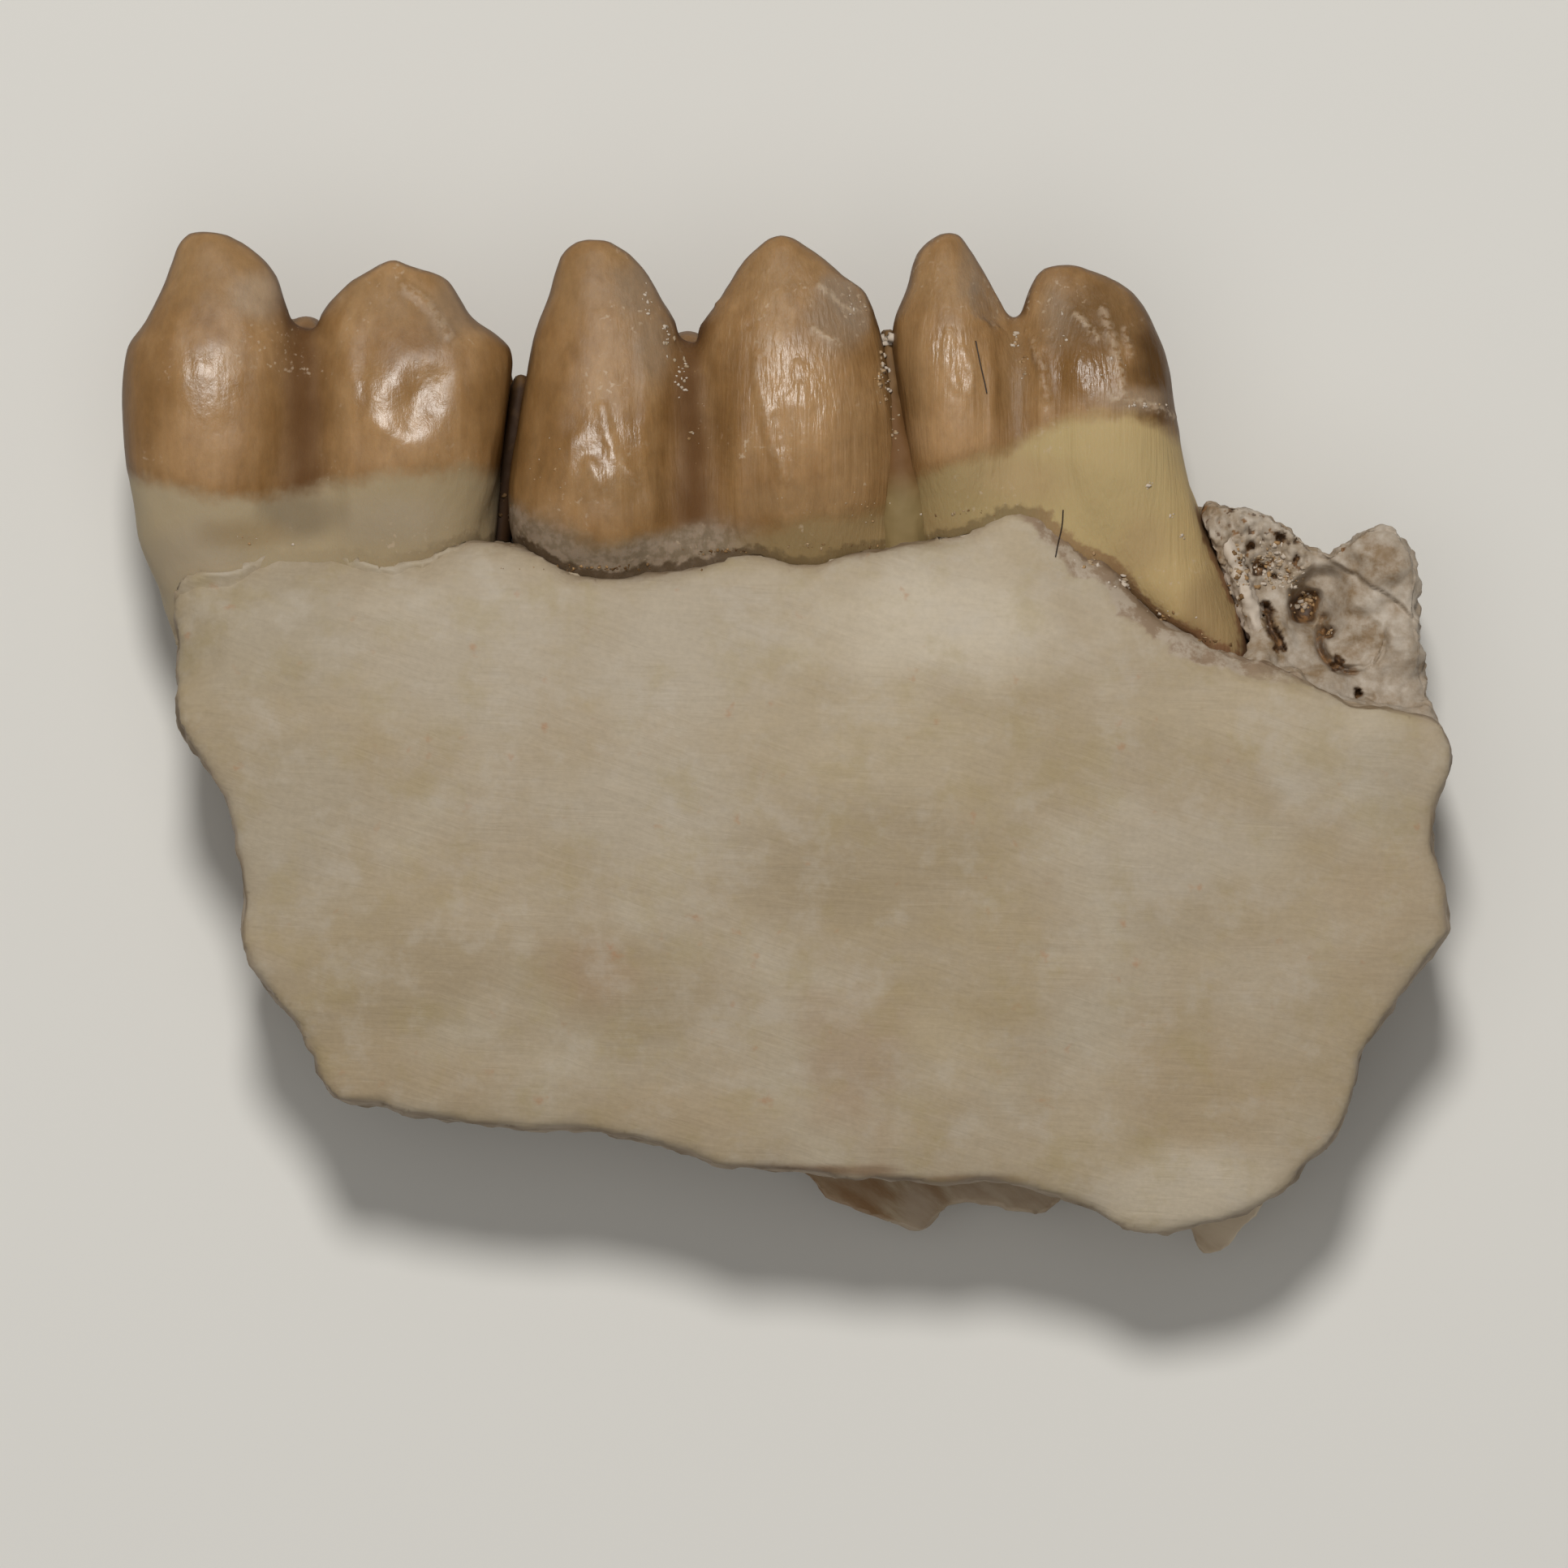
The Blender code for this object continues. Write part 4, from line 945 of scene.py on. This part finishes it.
# x, y, half width, half height in mm, which tone, strength
toothStainsAndPaintedLight = [
    (-10.6, 5.4, 0.9, 0.9, "honey", 0.5), (-10.4, 8.6, 1.0, 0.8, "amber", 0.6),
    (-9.5, 8.1, 0.5, 0.5, "paleChip", 0.7), (-7.2, 5.5, 0.9, 0.7, "honey", 0.5),
    (-7.2, 8.1, 0.9, 0.5, "amber", 0.6), (-6.1, 7.8, 0.5, 0.6, "chipped", 0.6),
    (-5.3, 6.2, 0.3, 1.5, "brown", 0.7),
    (-3.4, 8.4, 0.9, 0.7, "amber", 0.5), (-4.35, 5.4, 0.5, 1.2, "brown", 0.6),
    (-3.0, 4.6, 1.0, 0.5, "toffee", 0.6), (-2.7, 8.1, 0.45, 0.8, "chipped", 0.8),
    (-2.4, 7.2, 0.4, 0.8, "chipped", 0.7), (-1.9, 6.4, 0.35, 0.8, "brown", 0.6),
    (-1.05, 6.0, 0.35, 1.4, "brown", 0.7), (-0.1, 8.4, 0.8, 0.7, "amber", 0.5),
    (0.9, 7.8, 0.6, 0.7, "chipped", 0.7), (1.3, 5.3, 0.5, 1.2, "toffee", 0.5),
    (0.3, 4.4, 1.2, 0.35, "amber", 0.6), (2.8, 8.4, 0.6, 0.7, "amber", 0.5),
    (3.3, 8.4, 0.25, 0.6, "chipped", 0.6), (2.3, 6.3, 0.3, 1.2, "toffee", 0.6),
    (3.1, 5.6, 0.8, 0.5, "honey", 0.7), (4.15, 6.7, 0.25, 1.1, "toffee", 0.7),
    # the honey ovals at 3.0, 6.7 and 0.2, 6.1 lie on the polished bulges and lighten them where the highlight
    # falls: painted highlight
    (5.5, 7.7, 1.0, 0.9, "deepBrown", 0.85), (3.0, 6.7, 0.5, 0.8, "honey", 0.7),
    (0.2, 6.1, 0.8, 1.2, "honey", 0.7), (5.4, 6.7, 0.8, 0.6, "brown", 0.7),
    # the near-black oval at 6.8, 7.1 darkens the front tooth's right flank: painted shade
    (6.8, 7.1, 0.6, 1.5, "nearBlack", 0.95), (4.85, 7.9, 0.35, 0.7, "chipped", 0.7),
    (6.2, 6.25, 0.7, 0.25, "paleChip", 0.6), (-11.6, 6.2, 0.5, 1.5, "brown", 0.6),
]
rootStains = [
    (-10.7, 3.3, 1.0, 0.7, "greyCream", 0.8), (-7.0, 4.0, 1.0, 0.5, "greyCream", 0.7),
    (-8.8, 4.15, 0.65, 0.5, "smoke", 0.7), (-9.7, 3.8, 0.8, 0.28, "brownish", 0.45),
    (4.1, 4.8, 1.2, 0.5, "dullYellow", 0.7),
    (6.0, 4.8, 1.0, 1.2, "yellow", 0.7), (7.6, 2.3, 0.5, 1.0, "brownish", 0.8),
    (6.4, 3.6, 0.5, 0.6, "dullYellow", 0.6), (1.5, 3.9, 1.6, 0.35, "brownish", 0.7),
]


def makeToothFinish():
    # enamel stained amber in the ground and polished by wear, over duller yellow roots, with painted shade in
    # its troughs and on its sides and a painted highlight on two bulges
    finish, add = newMaterial("wornAmberEnamel")
    inMm = add("scaled", add("place"), 1 / mm)
    x, y, _ = add("axes", inMm)
    below, valley, polished, sideShade, flat, ridge, nearBone = (
        add("painted", attribute_name=name) for name in toothMarks)

    wide, long = enamelLook["streakMm"]
    streak = add("grain", add("stretched", inMm, (wide, long, wide)), 1.0, 4.0, 0.5, 0.4)
    cloud = add("grain", inMm, enamelLook["cloudsPerMm"], 4.0)
    speckle = add("grain", inMm, enamelLook["specksPerMm"], 3.0)
    tone = add("multiply", add("add", streak, cloud), 0.5)
    colour = add("tint", tone, stops=enamelLook["streaks"])
    colour = putColourOvals(add, inMm, cloud, colour, toothStainsAndPaintedLight, enamelTones)
    # fine mottling, as chalky and amber grains lie side by side in worn enamel
    wide, long = enamelLook["mottleMm"]
    mottle = add("grain", add("stretched", inMm, (wide, long, wide)), 1.0, 5.0, 0.7)
    colour = add("scaled", colour, add("spread", mottle, 0.25, 0.75, *enamelLook["mottleShade"]))
    # painted shade: enamel that faces sideways turns dark brown
    sideShadeShare = add("step", add("multiplyAdd", cloud, 0.4, sideShade), 0.55, 1.05, 0.0, 0.85)
    colour = add("blend", sideShadeShare, colour, enamelLook["sideShade"])
    # painted shade: the troughs between cusps turn deep brown
    colour = add("blend", add("multiply", valley, 0.8), colour, enamelLook["valley"])
    onFlat = add("step", add("multiplyAdd", speckle, 1.0, flat), 0.7, 1.7, 0.0, 0.65)
    colour = add("blend", onFlat, colour, enamelLook["flat"])

    # roots, coloured along the row, and browner towards their tips
    first, last = enamelLook["roots"][0][0], enamelLook["roots"][-1][0]
    along = add("spread", x, first, last, 0.0, 1.0)
    rootTint = add("tint", along, stops=[((at - first) / (last - first), code)
                                         for at, code in enamelLook["roots"]])
    rootTint = add("blend", add("step", add("multiplyAdd", cloud, -1.0, y), 1.9, 0.8), rootTint,
                   enamelLook["rootTip"])
    rootTint = putColourOvals(add, inMm, cloud, rootTint, rootStains, rootTones)
    lowered = add("multiplyAdd", cloud, 0.7, add("multiplyAdd", speckle, 0.2, below))
    isRoot = add("step", lowered, 0.3, 0.72)
    colour = add("blend", isRoot, colour, rootTint)

    # grey silt packed against the middle tooth, and a dark broken line along the bone's edge, partly dark
    # silt and partly painted shade where tooth and bone meet
    byBone = add("step", add("multiplyAdd", cloud, -0.9, nearBone), 0.52, 0.0, 0.0, 0.9)
    inSilt = add("multiply", byBone, add("multiply", add("step", x, *enamelLook["siltTo"]),
                                         add("step", x, *enamelLook["siltFrom"])))
    siltTint = add("blend", add("step", speckle, 0.38, 0.62), enamelLook["siltDark"], enamelLook["silt"])
    colour = add("blend", inSilt, colour, siltTint)
    # painted shade and silt: a dark line where the tooth meets the bone
    lineHere = add("tint", along, stops=enamelLook["rimLineShares"])
    siltAndShadeLine = add("step", add("multiplyAdd", speckle, 0.3, nearBone), 0.36, 0.26, 0.0, 0.8)
    lineTint = add("blend", add("step", x, 4.0, 5.0), enamelLook["siltAndShadeLine"], enamelLook["frontRimLine"])
    colour = add("blend", add("multiply", siltAndShadeLine, lineHere), colour, lineTint)

    # pale dust in patches, and ridges rubbed pale
    grit = add("grain", inMm, enamelLook["gritPerMm"], 2.0)
    patch = add("highest", add("step", cloud, 0.52, 0.66), add("multiply", flat, 0.9))
    dusty = add("multiply", add("step", grit, 0.6, 0.72, 0.0, 0.55), patch)
    rubbed = add("multiply", ridge, add("step", grit, 0.36, 0.6))
    colour = add("blend", add("highest", dusty, rubbed), colour, enamelLook["dust"])

    # upright wrinkles, strongest from the middle of the row to the front tooth
    fine, tall = enamelLook["wrinkleMm"]
    wrinkle = add("grain", add("stretched", inMm, (fine, tall, fine)), 1.0, 2.0, 0.5, 0.3)
    strong = add("step", add("multiplyAdd", cloud, 2.0, x), -3.5, 0.6, 0.12, 1.0)
    height = add("multiplyAdd", wrinkle, strong, add("multiply", speckle, 0.3))
    height = add("multiplyAdd", mottle, 0.5, height)
    dull = add("highest", add("multiply", isRoot, 0.75), inSilt)
    dull = add("highest", dull, add("spread", polished, 0.0, 1.0, 0.42, 0.0))
    dull = add("highest", dull, valley)
    rough = add("multiplyAdd", speckle, 0.08, add("spread", dull, 0.0, 1.0, *enamelLook["roughness"]))
    relief = add("relief", height, enamelLook["relief"], enamelLook["reliefMm"] * mm)
    add("result", add("surface", colour, rough, enamelLook["specular"], enamelLook["ior"], relief,
                      enamelLook["glow"], enamelLook["glowTint"], enamelLook["glowMm"] * mm,
                      subsurface_method="RANDOM_WALK"))
    return finish


# what has gathered on the jaw: silt between the teeth, crumbs and two stray hairs; and a dark fill, painted
# shadow, in the gap behind the middle tooth

# silt in the gaps, and the dark fill of painted shadow, from its foot up: y, x, half width, highest z, tone
# from brown near 0 to white near 1
siltAndShadowColumns = {
    "dark fill for the shadow behind the middle tooth": [(3.1, -5.4, 0.3, 2.9, -0.1), (4.2, -5.24, 0.3, 2.8, -0.2),
                                (5.5, -5.0, 0.28, 3.0, -0.1), (6.4, -4.86, 0.22, 3.0, 0.0),
                                (6.75, -4.82, 0.12, 2.9, 0.05)],
    "before the middle tooth": [(3.2, 2.14, 0.6, 4.5, 0.5), (3.9, 2.12, 0.64, 4.6, 0.52),
                                (4.6, 2.1, 0.62, 4.62, 0.45), (5.2, 2.06, 0.5, 4.5, 0.38),
                                (5.8, 1.98, 0.38, 4.34, 0.28), (6.4, 1.92, 0.28, 4.15, 0.25),
                                (7.0, 1.88, 0.24, 4.05, 0.35), (7.55, 1.85, 0.12, 3.8, 0.35)],
    "beside the front root": [(1.9, 8.6, 0.26, 4.05, 0.9), (2.8, 8.3, 0.26, 4.15, 0.86),
                              (3.5, 8.06, 0.24, 4.1, 0.9), (4.2, 7.85, 0.12, 3.8, 0.9)],
}
# how rough each is, and how far it has taken the colour of the teeth, darkened as painted shade in the seam
siltNature = {"dark fill for the shadow behind the middle tooth": (0.015, 0.0), "before the middle tooth": (0.02, 0.9),
              "beside the front root": (0.08, 0.0)}
siltSkin = {
    "skin": (0.06, 2), "low": 1.6, "pathSteps": 6,
    "grains": [(1.0, 0.3, 3), (0.5, 0.12, 2)],   # bumps as height, size and octaves, in mm
    "toneWander": 0.12, "takenUpTo": (5.8, 6.5),
}
siltLook = {
    # the dark brown tones near 0 give the fill behind the middle tooth its painted shadow
    "tones": ((0.1, "#38230f"), (0.3, "#5e4324"), (0.55, "#765937"), (0.7, "#a38158"),
              (0.88, "#a08d74"), (1.0, "#c0b2a2")),
    "grainsPerMm": 4.0, "roughness": 0.7, "specular": 0.3,
    # amber and olive: the teeth's colours, darkened as painted shade in the seam before the middle tooth
    "amber": "#694826", "olive": "#7d6b45", "oliveBelow": (5.1, 4.3),
}
# how crumbs vary: scatter over their spread, least and added share of their size, tone, how much longer than
# wide, how lumpy, how many lumps on one and how flat they lie
crumbForm = {"seed": 11, "scatter": 0.55, "size": (0.25, 0.65), "tone": 0.25, "longer": (0.7, 1.5),
             "lumpy": 0.9, "lumps": 1.3, "flat": 0.55}
# crumbs: middle x, y; spread x, y; how many; size; tone from brown near 0 to white near 1
crumbSpots = [
    (1.82, 7.35, 0.08, 0.12, 14, 0.1, 1.0), (1.72, 6.75, 0.12, 0.25, 22, 0.06, 0.75),
    (1.78, 6.3, 0.12, 0.3, 16, 0.05, 0.65), (2.0, 5.8, 0.09, 0.4, 10, 0.045, 0.5),
    (4.15, 7.25, 0.07, 0.2, 10, 0.05, 0.8), (4.3, 6.8, 0.08, 0.3, 14, 0.04, 0.6),
    (6.4, 6.15, 0.4, 0.06, 18, 0.035, 0.8), (6.55, 4.7, 0.05, 0.09, 6, 0.05, 1.0),
    (6.95, 4.15, 0.04, 0.05, 4, 0.045, 1.0), (7.15, 3.75, 0.04, 0.07, 4, 0.04, 0.95),
    (-2.15, 7.4, 0.1, 0.3, 16, 0.05, 0.95), (-1.9, 6.7, 0.12, 0.35, 18, 0.045, 0.85),
    (-1.6, 5.6, 0.2, 0.7, 14, 0.03, 0.6), (-2.5, 8.0, 0.12, 0.4, 10, 0.035, 0.9),
    (-5.1, 4.5, 0.2, 0.4, 10, 0.055, 0.2), (-3.4, 3.2, 1.3, 0.05, 50, 0.035, 0.3),
    (-1.2, 3.5, 0.8, 0.05, 30, 0.035, 0.3), (1.0, 3.6, 1.3, 0.06, 20, 0.03, 0.5),
    (3.3, 4.2, 0.8, 0.06, 14, 0.03, 0.5), (0.9, 4.3, 1.5, 0.3, 20, 0.024, 0.8),
    (-4.4, 5.0, 0.4, 0.5, 8, 0.03, 0.7), (6.1, 2.95, 0.16, 0.12, 9, 0.1, 0.9),
    (5.6, 3.35, 0.3, 0.16, 14, 0.06, 0.75), (6.9, 2.35, 0.3, 0.14, 14, 0.05, 0.7),
    (7.7, 1.9, 0.4, 0.08, 16, 0.04, 0.45), (8.75, 3.3, 0.3, 0.3, 80, 0.06, 0.75),
    (9.1, 3.05, 0.25, 0.2, 50, 0.055, 0.78), (9.46, 2.6, 0.18, 0.18, 44, 0.07, 0.6),
    (9.87, 2.05, 0.08, 0.09, 10, 0.045, 0.6), (-9.3, 3.7, 0.8, 0.1, 8, 0.03, 0.8),
    (8.2, 3.1, 0.14, 0.6, 44, 0.06, 0.55), (5.1, 7.4, 0.3, 0.5, 8, 0.035, 0.75),
    (5.9, 6.9, 0.3, 0.35, 12, 0.04, 0.8), (1.2, 8.0, 0.25, 0.25, 14, 0.04, 0.85),
]
hairForm = {"radius": 0.012, "lift": 0.025, "sides": 6}
hairs = [[(3.42, 7.3), (3.5, 6.9), (3.58, 6.55), (3.62, 6.35)],
         [(5.0, 4.25), (4.98, 3.95), (4.9, 3.6), (4.86, 3.4)]]


def dropOnto(tree, x, y):
    # the highest place on the jaw at x, y
    place = tree.ray_cast((x, y, 9.0), (0, 0, -1))[0]
    return place.z if place else None


def makeSilt(finish):
    shape = bmesh.new()
    middles = []
    for name, rows in siltAndShadowColumns.items():
        path = smoothThrough(rows, siltSkin["pathSteps"])
        loftRings(shape, [ovalRing(y, x - half, x + half, siltSkin["low"], high, cuspForm["siltCorner"])
                          for y, x, half, high, _ in path])
        middles += [(x, y, tone, *siltNature[name]) for y, x, _, _, tone in path]
    piece = pieceFromShape("silt_and_shadow_fill_between_teeth", shape)
    skinOver(piece, *siltSkin["skin"])
    mesh = piece.data
    points = pointsOf(mesh)
    middles = np.array(middles)
    nearest = np.array([np.argmin(((middles[:, :2] - p[:2]) ** 2).sum(axis=1)) for p in points])
    tone, roughness, taken = middles[nearest, 2:].T
    points += normalsOf(mesh) * (roughness * layeredBumps(points, siltSkin["grains"]))[:, None]
    movePoints(mesh, points)
    paintPoints(mesh, "crumbTone", tone + siltSkin["toneWander"] * bumps(points, 0.3, 2))
    height = points[:, 1] + 0.3 * bumps(points, 0.4, 2)
    paintPoints(mesh, "takenColourInShade", taken * fade(height, *siltSkin["takenUpTo"]))
    settle(piece, finish)
    return piece


def makeCrumbs(finish, tree):
    draw = random.Random(crumbForm["seed"])
    scatter, (least, more) = crumbForm["scatter"], crumbForm["size"]
    shape = bmesh.new()
    layer = shape.verts.layers.float.new("crumbTone")
    for x, y, spreadX, spreadY, count, size, tone in crumbSpots:
        for _ in range(count):
            px, py = x + spreadX * draw.gauss(0, scatter), y + spreadY * draw.gauss(0, scatter)
            radius = size * (least + more * draw.random() ** 2)
            shade = tone + draw.uniform(-crumbForm["tone"], crumbForm["tone"])
            z = dropOnto(tree, px, py)
            if z is None:
                continue
            made = bmesh.ops.create_icosphere(shape, subdivisions=2, radius=radius)["verts"]
            longer = draw.uniform(*crumbForm["longer"])
            ownPlace = Vector((px, py, 0)) * 9   # so that no two crumbs have the same lumps
            for v in made:
                v.co *= 1 + crumbForm["lumpy"] * noise.noise(v.co * crumbForm["lumps"] / radius + ownPlace)
                v.co = Vector((px + v.co.x * longer, py + v.co.y / longer, z + crumbForm["flat"] * v.co.z))
                v[layer] = shade
    piece = pieceFromShape("crumbs_of_silt_and_lime", shape)
    settle(piece, finish)


def makeHairs(finish, tree):
    shape = bmesh.new()
    radius = hairForm["radius"]
    around = np.linspace(0, 2 * math.pi, hairForm["sides"], endpoint=False)
    for line in hairs:
        rings = []
        for x, y in smoothThrough(line, 6):
            z = dropOnto(tree, x, y) + hairForm["lift"]
            rings.append([(x + radius * math.cos(a), y, z + radius * math.sin(a)) for a in around])
        loftRings(shape, rings)
    piece = pieceFromShape("two_stray_hairs", shape)
    settle(piece, finish)


def makeSiltFinish():
    # dried silt and lime, also used for the dark fill that stands for the shadow behind the middle tooth:
    # matt and powdery, so its crumbs catch no shine
    finish, add = newMaterial("driedSiltLimeAndPaintedShade")
    inMm = add("scaled", add("place"), 1 / mm)
    grains = add("grain", inMm, siltLook["grainsPerMm"], 4.0)
    tone = add("multiplyAdd", grains, 0.3, add("painted", attribute_name="crumbTone"))
    tint = add("tint", tone, stops=siltLook["tones"])
    _, y, _ = add("axes", inMm)
    # painted shade: the seam before the middle tooth takes the teeth's colours, darkened
    toothTintInShade = add("blend", add("step", y, *siltLook["oliveBelow"]), siltLook["amber"], siltLook["olive"])
    tint = add("blend", add("painted", attribute_name="takenColourInShade"), tint, toothTintInShade)
    add("result", add("surface", tint, siltLook["roughness"], siltLook["specular"]))
    return finish


def makeHairFinish():
    # hair: dark brown with a soft sheen, though it is too thin to show more than a line
    finish, add = newMaterial("darkHair")
    add("result", add("surface", "#2a2019", 0.5))
    return finish


# floor, light and camera

studio = {
    "floorHalf": 0.25, "floorColour": "#d9d7d2", "floorRoughness": 0.9,
    "viewDistance": 0.25, "viewWidth": 0.02841, "aim": (-0.00004, -0.0007, 0.004),   # in metres
    "sensorMm": 36.0, "clipStart": 0.01,
    # round softboxes: size and distance in metres, tilt and turn in degrees, power in watts, and whether
    # polished enamel mirrors it
    "softboxes": {"keySoftbox": (0.055, 0.30, 27, -4, 0.62, True),
                  "fillSoftbox": (0.5, 0.45, -12, 30, 0.5, False)},
    "lightTint": (1.0, 0.985, 0.955), "worldColour": "#bbbbb9", "worldStrength": 0.26,
}


def addSoftbox(name, size, distance, tilt, turn, power, mirrored):
    light = bpy.data.lights.new(name, "AREA")
    light.shape = "DISK"
    light.size = size
    light.energy = power
    light.color = studio["lightTint"]
    holder = bpy.data.objects.new(name, light)
    bpy.context.scene.collection.objects.link(holder)
    lean, swing = math.radians(tilt), math.radians(turn)
    way = Vector((math.sin(lean) * math.sin(swing), math.sin(lean) * math.cos(swing), math.cos(lean)))
    holder.location = Vector(studio["aim"]) + way * distance
    holder.rotation_euler = way.to_track_quat("Z", "Y").to_euler()
    holder.visible_glossy = mirrored


def makeStudio():
    shape = bmesh.new()
    bmesh.ops.create_grid(shape, x_segments=1, y_segments=1, size=studio["floorHalf"])
    floor = pieceFromShape("studio_floor", shape)
    finish, add = newMaterial("matteBackdropPaper")   # an even pale ground without reflections
    add("result", add("surface", studio["floorColour"], studio["floorRoughness"]))
    floor.data.materials.append(finish)
    for name, values in studio["softboxes"].items():
        addSoftbox(name, *values)
    world = bpy.data.worlds.new("paleRoom")
    world.use_nodes = True
    sky = world.node_tree.nodes["Background"]
    sky.inputs[0].default_value = linearFromHex(studio["worldColour"])
    sky.inputs[1].default_value = studio["worldStrength"]
    bpy.context.scene.world = world
    bpy.context.scene.view_settings.view_transform = "Standard"
    lens = bpy.data.cameras.new("photoCamera")
    lens.sensor_width = studio["sensorMm"]
    lens.lens = lens.sensor_width * studio["viewDistance"] / studio["viewWidth"]
    lens.clip_start = studio["clipStart"]
    camera = bpy.data.objects.new("photoCamera", lens)
    camera.location = Vector(studio["aim"]) + Vector((0, 0, studio["viewDistance"]))
    bpy.context.scene.collection.objects.link(camera)
    bpy.context.scene.camera = camera
    print("stage: floor, lights and camera")


makeStudio()
toothFinish, siltFinish = makeToothFinish(), makeSiltFinish()
bone = makeBone(makeBoneFinish())
boneTree = searchTree(bone)
molars = [makeMolar(tooth, toothFinish, boneTree) for tooth in (rearMolar, middleMolar, frontMolar)]
silt = makeSilt(siltFinish)
wholeTree = searchTree(bone, silt, *molars)
makeCrumbs(siltFinish, wholeTree)
makeHairs(makeHairFinish(), wholeTree)
